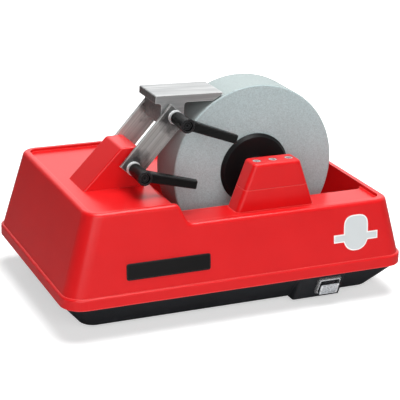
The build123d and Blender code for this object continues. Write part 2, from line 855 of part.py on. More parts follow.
axle_front = post_bearing_front + free_gap
axle_rear = tower_bearing_rear - free_gap
shoulder_front = post_bearing_rear + free_gap
shoulder_rear = tower_bearing_front - free_gap
axle_radius = axle_diameter / 2
journal_radius = journal_diameter / 2
front_hub = stone_front - flange_rim - flange_hub
rear_hub = stone_rear + flange_rim + flange_hub
bore_on_axle = axle_diameter + 2 * seat_gap

with BuildPart() as grinding_wheel:
    turned(
        [
            (stone_front, bore_on_axle / 2),
            (stone_front, stone_radius - stone_edge),
            (stone_front + stone_edge, stone_radius),
            (stone_rear - stone_edge, stone_radius),
            (stone_rear, stone_radius - stone_edge),
            (stone_rear, bore_on_axle / 2),
        ],
        axle_x, axle_z,
    )
finish(grinding_wheel, "grinding_wheel")

flange_radius = flange_diameter / 2
hub_radius = flange_hub_diameter / 2
for name, face, out in (("front_flange", stone_front, -1), ("rear_flange", stone_rear, 1)):
    with BuildPart() as flange:
        turned(
            [
                (face, bore_on_axle / 2),
                (face, flange_radius),
                (face + out * (flange_rim - flange_bevel), flange_radius),
                (face + out * flange_rim, flange_radius - flange_bevel),
                (face + out * flange_rim, hub_radius),
                (face + out * (flange_rim + flange_hub), hub_radius - flange_hub / 2),
                (face + out * (flange_rim + flange_hub), bore_on_axle / 2),
            ],
            axle_x, axle_z,
        )
    finish(flange, name)

with BuildPart() as wheel_axle:
    turned(
        [
            (axle_front, 0),
            (axle_front, journal_radius),
            (shoulder_front, journal_radius),
            (shoulder_front, axle_radius),
            (rear_hub, axle_radius),
            (rear_hub, axle_radius + collar_step),
            (rear_hub + collar_width, axle_radius + collar_step),
            (rear_hub + collar_width, axle_radius),
            (shoulder_rear, axle_radius),
            (shoulder_rear, journal_radius),
            (axle_rear, journal_radius),
            (axle_rear, 0),
        ],
        axle_x, axle_z,
    )
finish(wheel_axle, "wheel_axle")

with BuildPart() as axle_nut:
    with BuildSketch(facing_front(front_hub)):
        with Locations((axle_x, axle_z)):
            RegularPolygon(nut_across_flats / 2, 6, major_radius=False)
            Circle(bore_on_axle / 2, mode=Mode.SUBTRACT)
    extrude(amount=nut_thickness)
    chamfer(axle_nut.faces().sort_by(Axis.Y)[0].outer_wire().edges(), nut_bevel)
finish(axle_nut, "axle_nut")

for name, face, out in (("front_seal", trough_front, 1), ("rear_seal", trough_rear, -1)):
    with BuildPart() as seal:
        lip = face + out * free_gap
        back = face + out * (free_gap + seal_width)
        turned(
            [
                (back, bore_on_axle / 2),
                (lip + out * seal_lip, bore_on_axle / 2),
                (lip, seal_diameter / 2),
                (lip + out * seal_lip / 2, seal_diameter / 2),
                (lip + out * seal_lip, seal_diameter / 2 - seal_lip),
                (back, seal_diameter / 2 - seal_lip),
            ],
            axle_x, axle_z,
        )
    finish(seal, name)

for name, front in (("front_bearing", post_bearing_front), ("rear_bearing", tower_bearing_front)):
    with BuildPart() as bearing:
        rear = front + bearing_width
        journal_bore = journal_diameter + 2 * running_fit
        ring_along_y(front, rear, bearing_diameter, journal_bore, axle_x, axle_z)
        shield_outer = bearing_diameter - 2 * bearing_race
        shield_inner = journal_bore + 2 * bearing_race
        ring_along_y(front, front + shield_sink, shield_outer, shield_inner, axle_x, axle_z, Mode.SUBTRACT)
        ring_along_y(rear - shield_sink, rear, shield_outer, shield_inner, axle_x, axle_z, Mode.SUBTRACT)
    finish(bearing, name)

# Belt drive below the rear tower

motor_z = ledge_z - wall - motor_top_gap - motor_diameter / 2
pulley_mid = (pulley_front + pulley_rear) / 2
rib_places = [pulley_mid + (i - (belt_rib_count - 1) / 2) * belt_rib_pitch for i in range(belt_rib_count)]


def ribbed_pulley(diameter, bore, z):
    """Pulley with a groove for each rib of the belt."""
    ring_along_y(pulley_front, pulley_rear, diameter, bore, axle_x, z)
    for y in rib_places:
        half = belt_rib_width / 2 + free_gap
        root = diameter - 2 * (belt_rib_depth + free_gap)
        ring_along_y(y - half, y + half, diameter + belt_thickness, root, axle_x, z, Mode.SUBTRACT)


def belt_loop(y_front, y_rear, grow, mode=Mode.ADD):
    """Space inside a loop round both pulleys, grown out from their rims."""
    with BuildSketch(facing_front(y_rear)) as loop:
        with Locations((axle_x, axle_z)):
            Circle(pulley_diameter / 2 + grow)
        with Locations((axle_x, motor_z)):
            Circle(motor_pulley_diameter / 2 + grow)
        make_hull()
    extrude(loop.sketch, amount=y_rear - y_front, mode=mode)


with BuildPart() as driven_pulley:
    ribbed_pulley(pulley_diameter, bore_on_axle, axle_z)
finish(driven_pulley, "driven_pulley")

with BuildPart() as motor_pulley:
    ribbed_pulley(motor_pulley_diameter, motor_shaft_diameter + 2 * seat_gap, motor_z)
finish(motor_pulley, "motor_pulley")

with BuildPart() as drive_belt:
    belt_front = pulley_mid - belt_width / 2
    belt_rear = pulley_mid + belt_width / 2
    belt_loop(belt_front, belt_rear, running_fit + belt_thickness)
    belt_loop(belt_front, belt_rear, running_fit - belt_rib_depth, Mode.SUBTRACT)
    for i in range(belt_rib_count + 1):
        low = belt_front if i == 0 else rib_places[i - 1] + belt_rib_width / 2
        high = belt_rear if i == belt_rib_count else rib_places[i] - belt_rib_width / 2
        belt_loop(low, high, running_fit, Mode.SUBTRACT)
finish(drive_belt, "drive_belt")

# Motor on its plate

motor_rear = mount_rear + motor_length
cover_front = motor_rear - cover_thickness
can_inner = motor_diameter - 2 * motor_wall
bearing_boss = motor_bearing_diameter + 2 * motor_wall
front_boss_rear = mount_rear + motor_bearing_width + motor_wall
rear_boss_front = cover_front - motor_bearing_width
core_front = front_boss_rear + rotor_end_gap
core_rear = rear_boss_front - rotor_end_gap
stator_bore = rotor_diameter + 2 * rotor_gap
shaft_hole = motor_shaft_diameter + 2 * axle_hole_gap
screw_offset = motor_screw_circle / 2 * cos(radians(45))
motor_screw_places = [
    (axle_x + side * screw_offset, motor_z + level * screw_offset) for side in (-1, 1) for level in (-1, 1)
]

with BuildPart() as motor_mount:
    plate_top = motor_z + motor_screw_circle / 2 + motor_wall
    with BuildSketch(facing_front(mount_rear)):
        with Locations((axle_x, (tray_floor + plate_top) / 2)):
            Rectangle(2 * mount_half_width, plate_top - tray_floor)
        with Locations((axle_x, motor_z)):
            Circle(bearing_boss / 2, mode=Mode.SUBTRACT)
        with Locations(motor_screw_places):
            Circle(motor_screw / 2 + seat_gap, mode=Mode.SUBTRACT)
    extrude(amount=mount_thickness)
    fillet(motor_mount.edges().filter_by(Axis.Y).group_by(Axis.Z)[-1], mount_corner)
    with BuildSketch(Plane.XY.offset(tray_floor)):
        with Locations((axle_x, mount_rear + mount_foot / 2)):
            Rectangle(2 * mount_half_width, mount_foot)
        with Locations(mount_screw_places):
            Circle(motor_screw / 2 + seat_gap, mode=Mode.SUBTRACT)
    extrude(amount=mount_thickness)
finish(motor_mount, "motor_mount")

with BuildPart() as motor_body:
    ring_along_y(mount_rear, cover_front, motor_diameter, 0, axle_x, motor_z)
    ring_along_y(mount_rear + motor_face, cover_front, can_inner, 0, axle_x, motor_z, Mode.SUBTRACT)
    ring_along_y(mount_rear, front_boss_rear, bearing_boss, 0, axle_x, motor_z)
    ring_along_y(mount_rear, front_boss_rear, shaft_hole, 0, axle_x, motor_z, Mode.SUBTRACT)
    seat = motor_bearing_diameter + 2 * seat_gap
    seat_front = front_boss_rear - motor_bearing_width
    ring_along_y(seat_front, front_boss_rear, seat, 0, axle_x, motor_z, Mode.SUBTRACT)
    for x, z in motor_screw_places:
        ring_along_y(mount_rear, mount_rear + motor_face, motor_screw + 2 * seat_gap, 0, x, z, Mode.SUBTRACT)
finish(motor_body, "motor_body")

with BuildPart() as motor_end_cover:
    ring_along_y(cover_front, motor_rear, motor_diameter, 0, axle_x, motor_z)
    spigot = can_inner - 2 * seat_gap
    ring_along_y(cover_front - motor_wall, cover_front, spigot, stator_bore, axle_x, motor_z)
    ring_along_y(rear_boss_front, cover_front, bearing_boss, 0, axle_x, motor_z)
    seat = motor_bearing_diameter + 2 * seat_gap
    ring_along_y(rear_boss_front, cover_front, seat, 0, axle_x, motor_z, Mode.SUBTRACT)
    with BuildSketch(facing_front(motor_rear)):
        with Locations((axle_x, motor_z)):
            with PolarLocations(motor_vent_circle / 2, vent_count):
                Circle(motor_vent / 2)
    extrude(amount=cover_thickness, mode=Mode.SUBTRACT)
finish(motor_end_cover, "motor_end_cover")

with BuildPart() as motor_stator:
    ring_along_y(core_front, core_rear, can_inner - 2 * seat_gap, stator_bore, axle_x, motor_z)
finish(motor_stator, "motor_stator")

with BuildPart() as motor_windings:
    coil_outer = can_inner - 2 * motor_wall
    coil_inner = stator_bore + 2 * motor_wall
    ring_along_y(core_front - winding_height, core_front, coil_outer, coil_inner, axle_x, motor_z)
    ring_along_y(core_rear, core_rear + winding_height, coil_outer, coil_inner, axle_x, motor_z)
finish(motor_windings, "motor_windings")

with BuildPart() as motor_bearings:
    for rear in (front_boss_rear, cover_front):
        bore = motor_shaft_diameter + 2 * running_fit
        ring_along_y(rear - motor_bearing_width, rear, motor_bearing_diameter, bore, axle_x, motor_z)
finish(motor_bearings, "motor_bearings")

with BuildPart() as motor_rotor:
    ring_along_y(core_front, core_rear, rotor_diameter, 0, axle_x, motor_z)
    ring_along_y(pulley_front, cover_front - free_gap, motor_shaft_diameter, 0, axle_x, motor_z)
finish(motor_rotor, "motor_rotor")

with BuildPart() as motor_screws:
    for x, z in motor_screw_places:
        ring_along_y(mount_front - motor_screw_head_depth, mount_front, motor_screw_head, 0, x, z)
        ring_along_y(mount_front, mount_rear + motor_face, motor_screw, 0, x, z)
    for x, y in mount_screw_places:
        head_z = tray_floor + mount_thickness
        upright(x, y, head_z, head_z + motor_screw_head_depth, motor_screw_head)
        upright(x, y, tray_z, head_z, motor_screw)
finish(motor_screws, "motor_screws")

# Capacitor with its strap, terminal block and cable bush

capacitor_radius = capacitor_diameter / 2
capacitor_z = tray_floor + capacitor_radius
capacitor_front = capacitor_y - capacitor_length / 2
capacitor_rear = capacitor_y + capacitor_length / 2

with BuildPart() as run_capacitor:
    turned(
        [
            (capacitor_front, 0),
            (capacitor_front, capacitor_radius),
            (capacitor_rear - capacitor_neck, capacitor_radius),
            (capacitor_rear - capacitor_neck, capacitor_radius - clip_thickness),
            (capacitor_rear, capacitor_radius - clip_thickness),
            (capacitor_rear, 0),
        ],
        capacitor_x, capacitor_z,
    )
finish(run_capacitor, "run_capacitor")

with BuildPart() as capacitor_clip:
    strap_inner = capacitor_radius + seat_gap
    strap_outer = strap_inner + clip_thickness
    strap_rise = capacitor_z - tray_floor
    with BuildSketch(facing_front(capacitor_y + clip_width / 2)):
        with Locations((capacitor_x, capacitor_z)):
            Circle(strap_outer)
        with Locations((capacitor_x, tray_floor + strap_rise / 2)):
            Rectangle(2 * strap_outer, strap_rise)
        with Locations((capacitor_x, tray_floor + clip_thickness / 2)):
            Rectangle(2 * (strap_outer + clip_foot), clip_thickness)
        with Locations((capacitor_x, capacitor_z)):
            Circle(strap_inner, mode=Mode.SUBTRACT)
        with Locations((capacitor_x, tray_floor + strap_rise / 2)):
            Rectangle(2 * strap_inner, strap_rise, mode=Mode.SUBTRACT)
        with Locations((capacitor_x, tray_floor - strap_rise / 2)):
            Rectangle(4 * strap_outer, strap_rise, mode=Mode.SUBTRACT)
    extrude(amount=clip_width)
finish(capacitor_clip, "capacitor_clip")

with BuildPart() as terminal_block:
    pole_pitch = block_length / block_poles
    with BuildSketch(Plane.XY.offset(tray_floor)):
        with Locations((block_x, block_y)):
            Rectangle(block_length, block_depth)
    extrude(amount=block_height)
    with BuildSketch(Plane.XY.offset(tray_floor + block_height)):
        with Locations((block_x, block_y)):
            with GridLocations(pole_pitch, block_depth / 2, block_poles, 2):
                Circle(block_screw / 2)
    extrude(amount=-block_height / 3, mode=Mode.SUBTRACT)
    with BuildSketch(facing_front(block_y + block_depth / 2)):
        with Locations((block_x, tray_floor + block_height / 3)):
            with GridLocations(pole_pitch, 0, block_poles, 1):
                Circle(block_screw / 2)
    extrude(amount=block_depth, mode=Mode.SUBTRACT)
finish(terminal_block, "terminal_block")

with BuildPart() as cable_bush:
    with BuildSketch(bush_plane):
        Circle(bush_diameter / 2)
    extrude(amount=bush_flange)
    chamfer(cable_bush.faces().sort_by(Axis(bush_plane.origin, bush_plane.z_dir))[-1].edges(), bush_bevel)
    with BuildSketch(bush_plane):
        Circle(bush_neck_diameter / 2)
    extrude(amount=-bush_tail)
    with BuildSketch(bush_plane.offset(bush_flange)):
        Circle(bush_bore / 2)
    extrude(amount=-bush_tail - bush_flange, mode=Mode.SUBTRACT)
finish(cable_bush, "cable_bush")

# Tool rest: sleeve in the bracket, two arms, table and clamp bolts

bolt_bore = bolt_diameter + 2 * running_fit
bolt_hole = bolt_diameter + 2 * seat_gap

with BuildPart() as pivot_sleeve:
    ring_along_y(rest_front, rest_rear, sleeve_diameter, bolt_bore, lower_x, lower_z)
finish(pivot_sleeve, "pivot_sleeve")

for name, rear in (("front_arm", front_arm_rear), ("rear_arm", rear_arm_rear)):
    with BuildPart() as arm:
        with BuildSketch(facing_front(rear)):
            with Locations(((lower_x + upper_x) / 2, (lower_z + upper_z) / 2)):
                Rectangle(arm_span + 2 * arm_end, arm_width, rotation=arm_angle)
            with Locations((lower_x, lower_z), (upper_x, upper_z)):
                if name == "front_arm":
                    Circle(bolt_hole / 2, mode=Mode.SUBTRACT)
                else:
                    Rectangle(bolt_hole, bolt_hole, rotation=arm_angle, mode=Mode.SUBTRACT)
        extrude(amount=arm_thickness)
        outer_edges = arm.faces().sort_by(Axis.Y)[0].outer_wire().edges()
        inner_edges = arm.faces().sort_by(Axis.Y)[-1].outer_wire().edges()
        chamfer(outer_edges + inner_edges, arm_edge)
    finish(arm, name)

with BuildPart() as rest_table:
    table_plane = Plane(
        origin=(upper_x, rest_rear, upper_z), x_dir=(cos(tilt), 0, -sin(tilt)), z_dir=(0, -1, 0)
    )
    table_under = table_top - table_thickness
    with BuildSketch(table_plane) as section:
        with BuildLine():
            Polyline(
                (-table_heel, table_under),
                (-table_heel, table_top),
                (table_reach, table_top),
                (table_reach, table_top - table_tip),
                (table_reach - table_undercut, table_under),
                (stem_width / 2, table_under),
                (stem_width / 2, -stem_drop),
                (-stem_width / 2, -stem_drop),
                (-stem_width / 2, table_under),
                close=True,
            )
        make_face()
        fillet(section.vertices().group_by(Axis.X)[0].sort_by(Axis.Y)[-1], table_round)
        above_pivot = section.vertices().filter_by(lambda v: v.Y > 0)
        fillet(above_pivot.sort_by(lambda v: abs(v.X))[:2], stem_round)
        Circle(bolt_bore / 2, mode=Mode.SUBTRACT)
    extrude(amount=rest_width)
finish(rest_table, "rest_table")

for name, x, z in (("lower_clamp_bolt", lower_x, lower_z), ("upper_clamp_bolt", upper_x, upper_z)):
    with BuildPart() as bolt:
        bolt_radius = bolt_diameter / 2
        head_radius = bolt_head_diameter / 2
        turned(
            [
                (lever_face - bolt_tail, 0),
                (lever_face - bolt_tail, bolt_radius),
                (rear_arm_rear, bolt_radius),
                (rear_arm_rear, head_radius),
                (rear_arm_rear + bolt_head / 3, head_radius),
                (rear_arm_rear + bolt_head, head_radius / 2),
                (rear_arm_rear + bolt_head, 0),
            ],
            x, z,
        )
        with BuildSketch(facing_front(rear_arm_rear)):
            with Locations((x, z)):
                Rectangle(bolt_diameter, bolt_diameter, rotation=arm_angle)
        extrude(amount=arm_thickness)
    finish(bolt, name)

for name, x, z in (("lower_washer", lower_x, lower_z), ("upper_washer", upper_x, upper_z)):
    with BuildPart() as washer:
        ring_along_y(lever_face, front_arm_front, washer_diameter, bolt_hole, x, z)
    finish(washer, name)

for name, x, z in (("lower_spacer", lower_x, lower_z), ("upper_spacer", upper_x, upper_z)):
    with BuildPart() as spacer:
        ring_along_y(front_arm_rear, front_arm_rear + spacer_length, spacer_diameter, bolt_hole, x, z)
    finish(spacer, name)

# Clamping levers: threaded insert, handle that lifts off its splines, spring and retaining screw

hub_foot = insert_flange + free_gap
hub_top = hub_foot + lever_hub_height
web_low = insert_length + free_gap
web_high = web_low + lever_web
head_high = hub_top - lever_screw_sink
head_low = head_high - lever_screw_head_depth
insert_blind = bolt_tail + free_gap

levers = (
    ("lower", lower_x, lower_z, lower_lever_angle),
    ("upper", upper_x, upper_z, upper_lever_angle),
)
for side, x, z, angle in levers:
    along = (cos(radians(angle)), 0, sin(radians(angle)))
    lever_plane = Plane(origin=(x, lever_face, z), x_dir=along, z_dir=(0, -1, 0))
    rise = radians(lever_rise)

    with BuildPart() as insert:
        with BuildSketch(lever_plane):
            Circle(insert_flange_diameter / 2)
        extrude(amount=insert_flange)
        with BuildSketch(lever_plane):
            Circle(insert_diameter / 2)
        extrude(amount=insert_length)
        with BuildSketch(lever_plane):
            Circle(bolt_bore / 2)
        extrude(amount=insert_blind, mode=Mode.SUBTRACT)
        with BuildSketch(lever_plane):
            Circle(lever_screw_shank / 2 + seat_gap)
        extrude(amount=insert_length, mode=Mode.SUBTRACT)
    finish(insert, side + "_lever_insert")

    with BuildPart() as handle:
        for reach_out, width, height in (
            (0, lever_root_size, lever_root_size),
            (lever_length, lever_tip_width, lever_tip_height),
        ):
            up = lever_root + reach_out * tan(rise)
            centre = lever_plane.from_local_coords((reach_out, 0, up))
            heading = lever_plane.x_dir * cos(rise) + lever_plane.z_dir * sin(rise)
            with BuildSketch(Plane(origin=centre, x_dir=lever_plane.y_dir, z_dir=heading)):
                Rectangle(width, height)
        loft(ruled=True)
        fillet(handle.edges().filter_by(lambda e: e.length > lever_length / 2), lever_round)
        tip_face = handle.faces().sort_by(Axis(lever_plane.origin, lever_plane.x_dir))[-1]
        fillet(tip_face.edges(), lever_tip_round)
        turned(
            [
                (lever_face - hub_foot, 0),
                (lever_face - hub_foot, lever_hub_foot / 2),
                (lever_face - hub_top + lever_hub_bevel, lever_hub_top / 2),
                (lever_face - hub_top, lever_hub_top / 2 - lever_hub_bevel),
                (lever_face - hub_top, 0),
            ],
            x, z,
        )
        for low, high, bore in (
            (hub_foot, web_low, insert_diameter + 2 * lever_slide_fit),
            (web_low, web_high, lever_screw_shank + 2 * free_gap),
            (web_high, hub_top, lever_eye),
        ):
            ring_along_y(lever_face - high, lever_face - low, bore, 0, x, z, Mode.SUBTRACT)
    finish(handle, side + "_lever_handle")

    with BuildPart() as screw:
        with BuildSketch(lever_plane.offset(insert_blind + free_gap)):
            Circle(lever_screw_shank / 2)
        extrude(amount=head_low - insert_blind - free_gap)
        with BuildSketch(lever_plane.offset(head_low)):
            Circle(lever_screw_head / 2)
        extrude(amount=lever_screw_head_depth)
        with BuildSketch(lever_plane.offset(head_high)):
            RegularPolygon(lever_screw_key / 2, 6, major_radius=False)
        extrude(amount=-lever_screw_head_depth / 2, mode=Mode.SUBTRACT)
    finish(screw, side + "_lever_screw")

    with BuildPart() as spring:
        coil_radius = (lever_screw_shank + lever_screw_head) / 4
        coil_low = web_high + lever_spring_wire / 2 + seat_gap
        coil_high = head_low - lever_spring_wire / 2 - seat_gap
        coil_height = coil_high - coil_low
        coil_foot = lever_plane.from_local_coords((0, 0, coil_low))
        with BuildLine() as coil:
            Helix(coil_height / lever_spring_turns, coil_height, coil_radius, coil_foot, lever_plane.z_dir)
        with BuildSketch(Plane(origin=coil.line @ 0, z_dir=coil.line % 0)):
            RegularPolygon(lever_spring_wire / 2, 6)
        sweep(path=coil.line)
    finish(spring, side + "_lever_spring")
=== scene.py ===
# %% [markdown]
# A small wet sharpening machine: a red moulded housing with a water trough, a slow grey stone, and a
# tool rest on two aluminium arms. The solids come from the CAD model and stay where they are. This
# lesson gives each of them its finish, adds the thin pieces that sit on them, and lights the result.

# %% Load the machine
import bpy
import bmesh
from math import atan2, cos, degrees, radians, sin
from mathutils import Matrix, Vector


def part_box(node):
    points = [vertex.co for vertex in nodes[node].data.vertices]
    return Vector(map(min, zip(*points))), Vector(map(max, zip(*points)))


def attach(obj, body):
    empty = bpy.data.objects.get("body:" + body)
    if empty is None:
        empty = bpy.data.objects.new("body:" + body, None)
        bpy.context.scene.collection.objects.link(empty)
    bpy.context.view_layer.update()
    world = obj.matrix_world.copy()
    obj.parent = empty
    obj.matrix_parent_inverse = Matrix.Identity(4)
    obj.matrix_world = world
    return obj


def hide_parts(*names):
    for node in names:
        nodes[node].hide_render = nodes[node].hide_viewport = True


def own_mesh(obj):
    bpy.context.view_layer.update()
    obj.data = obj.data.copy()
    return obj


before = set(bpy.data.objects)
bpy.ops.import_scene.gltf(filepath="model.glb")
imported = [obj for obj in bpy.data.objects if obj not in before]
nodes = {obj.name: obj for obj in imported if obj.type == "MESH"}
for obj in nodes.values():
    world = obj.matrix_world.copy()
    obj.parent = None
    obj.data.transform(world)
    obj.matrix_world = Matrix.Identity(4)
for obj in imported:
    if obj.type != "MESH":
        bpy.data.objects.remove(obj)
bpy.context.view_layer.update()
MM = 0.001
bpy.context.scene.view_settings.view_transform = "Standard"
print("pieces from the CAD model:", len(nodes))

# %% [markdown]
# The photograph was taken from the front left and a little above, with a long lens. The place, the
# three turns and the lens below were found by fitting the straight edges of the housing, so the
# render can be laid over the photograph. A camera looks along its own -Z with +Y up, which is why
# the three directions go into the matrix as right, up and backwards.

# %% Camera
camera_place = Vector((-477.41, -1071.25, 498.28)) * MM
turn_right, look_down, roll = 0.420495, 0.347851, 0.030862
sensor_width, lens_length, far_limit = 36.0, 126.52, 20.0
forward = Vector((sin(turn_right) * cos(look_down), cos(turn_right) * cos(look_down), -sin(look_down)))
level_right = Vector((cos(turn_right), -sin(turn_right), 0.0))
level_up = level_right.cross(forward)
right = level_right * cos(roll) + level_up * sin(roll)
up = level_up * cos(roll) - level_right * sin(roll)

bpy.ops.object.select_all(action="DESELECT")
bpy.ops.object.camera_add(location=camera_place)
camera = bpy.context.object
camera.name = "photo_camera"
camera.rotation_euler = Matrix((right, up, -forward)).transposed().to_euler()
camera.data.sensor_width = sensor_width
camera.data.lens = lens_length
camera.data.clip_end = far_limit
bpy.context.scene.camera = camera
print("camera at", tuple(round(v, 3) for v in camera_place), "lens", round(camera.data.lens, 2))

# %% [markdown]
# Finishes are built from nodes. A few small helpers keep that readable: one links a socket or sets a
# plain value, one adds a node with its inputs by name, one makes a Math node, one stretches a value
# between two limits, one mixes two colours, and one starts an empty node group.

# %% Node helpers
FLOAT, VECTOR = "NodeSocketFloat", "NodeSocketVector"


def feed(tree, source, target):
    """Link a socket to a target, or set a plain value on it."""
    if hasattr(source, "is_linked"):
        tree.links.new(source, target)
    else:
        target.default_value = source


def add_node(tree, kind, settings=None, **inputs):
    """New node with its settings, and its inputs linked or set by name."""
    made = tree.nodes.new(kind)
    for name, value in (settings or {}).items():
        setattr(made, name, value)
    for name, value in inputs.items():
        feed(tree, value, made.inputs[name])
    return made


def calc(tree, operation, first, second=0.0):
    """Math node on one or two values."""
    made = tree.nodes.new("ShaderNodeMath")
    made.operation = operation
    feed(tree, first, made.inputs[0])
    feed(tree, second, made.inputs[1])
    return made.outputs[0]


def span(tree, value, low, high, to_low=0.0, to_high=1.0):
    """Stretch a value from one span to another, held at both ends."""
    made = add_node(tree, "ShaderNodeMapRange", {"clamp": True}, Value=value)
    for name, number in (("From Min", low), ("From Max", high), ("To Min", to_low), ("To Max", to_high)):
        feed(tree, number, made.inputs[name])
    return made.outputs["Result"]


def blend_colour(tree, share, first, second):
    """Colour between two colours."""
    made = tree.nodes.new("ShaderNodeMix")
    made.data_type = "RGBA"
    feed(tree, share, made.inputs[0])
    feed(tree, first, made.inputs[6])
    feed(tree, second, made.inputs[7])
    return made.outputs[2]


def new_group(name, inputs, outputs):
    """Empty shader node group with its named inputs and outputs."""
    tree = bpy.data.node_groups.new(name, "ShaderNodeTree")
    for label, kind in inputs:
        tree.interface.new_socket(name=label, in_out="INPUT", socket_type=kind)
    for label in outputs:
        tree.interface.new_socket(name=label, in_out="OUTPUT", socket_type=FLOAT)
    return tree, tree.nodes.new("NodeGroupInput"), tree.nodes.new("NodeGroupOutput")


print("node helpers ready")

# %% [markdown]
# A plastic moulding is never one flat colour. Its surface has the fine grain of the mould, a slow
# clouding where the melt cooled unevenly, and faint wipe marks from hands. One group gives all three,
# so that red, black and pale mouldings share it with different values.

# %% Group: moulded skin
wipe_stretch = (9.0, 9.0, 60.0)
tree, inside, outside = new_group(
    "moulded_skin", [("Vector", VECTOR), ("Grain", FLOAT)], ["Grain", "Cloud", "Wipe"]
)
place = inside.outputs["Vector"]
grain = add_node(tree, "ShaderNodeTexNoise", Vector=place, Scale=inside.outputs["Grain"], Detail=2.0)
cloud = add_node(tree, "ShaderNodeTexNoise", Vector=place, Scale=22.0, Detail=4.0)
sideways = add_node(tree, "ShaderNodeMapping", Vector=place, Scale=wipe_stretch)
wipe = add_node(tree, "ShaderNodeTexNoise", Vector=sideways.outputs[0], Scale=1.0, Detail=5.0)
feed(tree, grain.outputs["Fac"], outside.inputs["Grain"])
feed(tree, span(tree, cloud.outputs["Fac"], 0.3, 0.7), outside.inputs["Cloud"])
feed(tree, span(tree, wipe.outputs["Fac"], 0.45, 0.7), outside.inputs["Wipe"])
moulded_skin = tree
print("group:", moulded_skin.name)

# %% [markdown]
# Edges catch the light and lose their finish first. The pale line along them is mostly a painted
# highlight, and on the tray and the rubber it also stands for wear. The edges could be found by hand
# and painted, but the Bevel node finds them on every piece at once: it gives the normal that a rounded
# edge would have, and where that differs from the true normal there is an edge. The radius is the width
# of the pale line.

# %% Group: edge highlight and wear
tree, inside, outside = new_group("edge_highlight_and_wear", [("Radius", FLOAT)], ["Edge"])
rounded = add_node(tree, "ShaderNodeBevel", {"samples": 6}, Radius=inside.outputs["Radius"])
surface = tree.nodes.new("ShaderNodeNewGeometry")
match = add_node(tree, "ShaderNodeVectorMath", {"operation": "DOT_PRODUCT"})
feed(tree, rounded.outputs[0], match.inputs[0])
feed(tree, surface.outputs["Normal"], match.inputs[1])
feed(tree, span(tree, match.outputs["Value"], 0.998, 0.93), outside.inputs["Edge"])
edge_highlight_and_wear = tree
print("group:", edge_highlight_and_wear.name)

# %% [markdown]
# Dust settles on what faces up. The group reads how far the surface faces the ceiling and breaks the
# layer up with a slow noise.

# %% Group: settled dust
tree, inside, outside = new_group("settled_dust", [("Vector", VECTOR)], ["Dust"])
surface = tree.nodes.new("ShaderNodeNewGeometry")
axes = add_node(tree, "ShaderNodeSeparateXYZ", Vector=surface.outputs["Normal"])
facing_up = span(tree, axes.outputs["Z"], 0.55, 0.95)
drift = add_node(tree, "ShaderNodeTexNoise", Vector=inside.outputs["Vector"], Scale=45.0, Detail=6.0)
patches = span(tree, drift.outputs["Fac"], 0.42, 0.75)
feed(tree, calc(tree, "MULTIPLY", facing_up, patches), outside.inputs["Dust"])
settled_dust = tree
print("group:", settled_dust.name)

# %% [markdown]
# Brushed and drawn metal has fine lines along one direction. Each material turns and stretches its
# own coordinates with a Mapping node, and this group makes long streaks from them, with a few deeper
# scratches.

# %% Group: drawn lines
tree, inside, outside = new_group("drawn_lines", [("Vector", VECTOR)], ["Lines", "Scratch"])
lines = add_node(tree, "ShaderNodeTexNoise", Vector=inside.outputs["Vector"], Scale=1.0, Detail=6.0)
deep = add_node(tree, "ShaderNodeTexNoise", Vector=inside.outputs["Vector"], Scale=0.45, Detail=3.0)
feed(tree, span(tree, lines.outputs["Fac"], 0.3, 0.7), outside.inputs["Lines"])
feed(tree, span(tree, deep.outputs["Fac"], 0.62, 0.7), outside.inputs["Scratch"])
drawn_lines = tree
print("group:", drawn_lines.name)

# %% [markdown]
# Turned faces have the same fine lines in rings around their axis. The group measures how far a point
# is from an axis along Y, and reads a noise that changes only with that distance. It also gives the
# distance itself, for a finish that changes towards a rim.

# %% Group: turned lines
tree, inside, outside = new_group(
    "turned_lines", [("Vector", VECTOR), ("Centre", VECTOR)], ["Rings", "Reach"]
)
point = add_node(tree, "ShaderNodeSeparateXYZ", Vector=inside.outputs["Vector"])
centre = add_node(tree, "ShaderNodeSeparateXYZ", Vector=inside.outputs["Centre"])
across = [calc(tree, "SUBTRACT", point.outputs[axis], centre.outputs[axis]) for axis in ("X", "Z")]
squares = [calc(tree, "MULTIPLY", part, part) for part in across]
reach = calc(tree, "SQRT", calc(tree, "ADD", squares[0], squares[1]))
ring_place = add_node(tree, "ShaderNodeCombineXYZ", X=reach)
rings = add_node(tree, "ShaderNodeTexNoise", Vector=ring_place.outputs[0], Scale=2200.0, Detail=3.0)
feed(tree, rings.outputs["Fac"], outside.inputs["Rings"])
feed(tree, reach, outside.inputs["Reach"])
turned_lines = tree
print("group:", turned_lines.name)

# %% [markdown]
# Each material starts the same way: object coordinates in metres, a Principled shader, and the groups
# it needs. These helpers start one, place a group in it, bump its surface, blend one more colour over
# it, and hand it to CAD pieces by name. The axle's place is read from the flange that sits on it.

# %% Material helpers
def start_material(name):
    """New material with its tree, its shader and its object coordinates."""
    made = bpy.data.materials.new(name)
    made.use_nodes = True
    tree = made.node_tree
    place = tree.nodes.new("ShaderNodeTexCoord").outputs["Object"]
    return made, tree, tree.nodes["Principled BSDF"], place


def use_group(tree, group, **inputs):
    """Place a node group in a material, with its inputs linked or set by name."""
    made = add_node(tree, "ShaderNodeGroup", {"node_tree": group}, **inputs)
    return made.outputs


def raise_surface(tree, shader, height, distance):
    """Bump on the shader's normal, with its height in metres."""
    bump = add_node(tree, "ShaderNodeBump", Height=height, Distance=distance, Strength=1.0)
    feed(tree, bump.outputs["Normal"], shader.inputs["Normal"])


def blend_over(tree, shader, share, colour):
    """Blend a further colour over the one that the shader has so far."""
    so_far = shader.inputs["Base Color"].links[0].from_socket
    feed(tree, blend_colour(tree, share, so_far, colour), shader.inputs["Base Color"])


def dress(material, *names):
    """Give CAD pieces this material alone."""
    for name in names:
        nodes[name].data.materials.clear()
        nodes[name].data.materials.append(material)
    print(material.name, "on", ", ".join(names))


def middle_of(name):
    """Middle of a CAD piece's box, in metres."""
    low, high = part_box(name)
    return (low + high) / 2


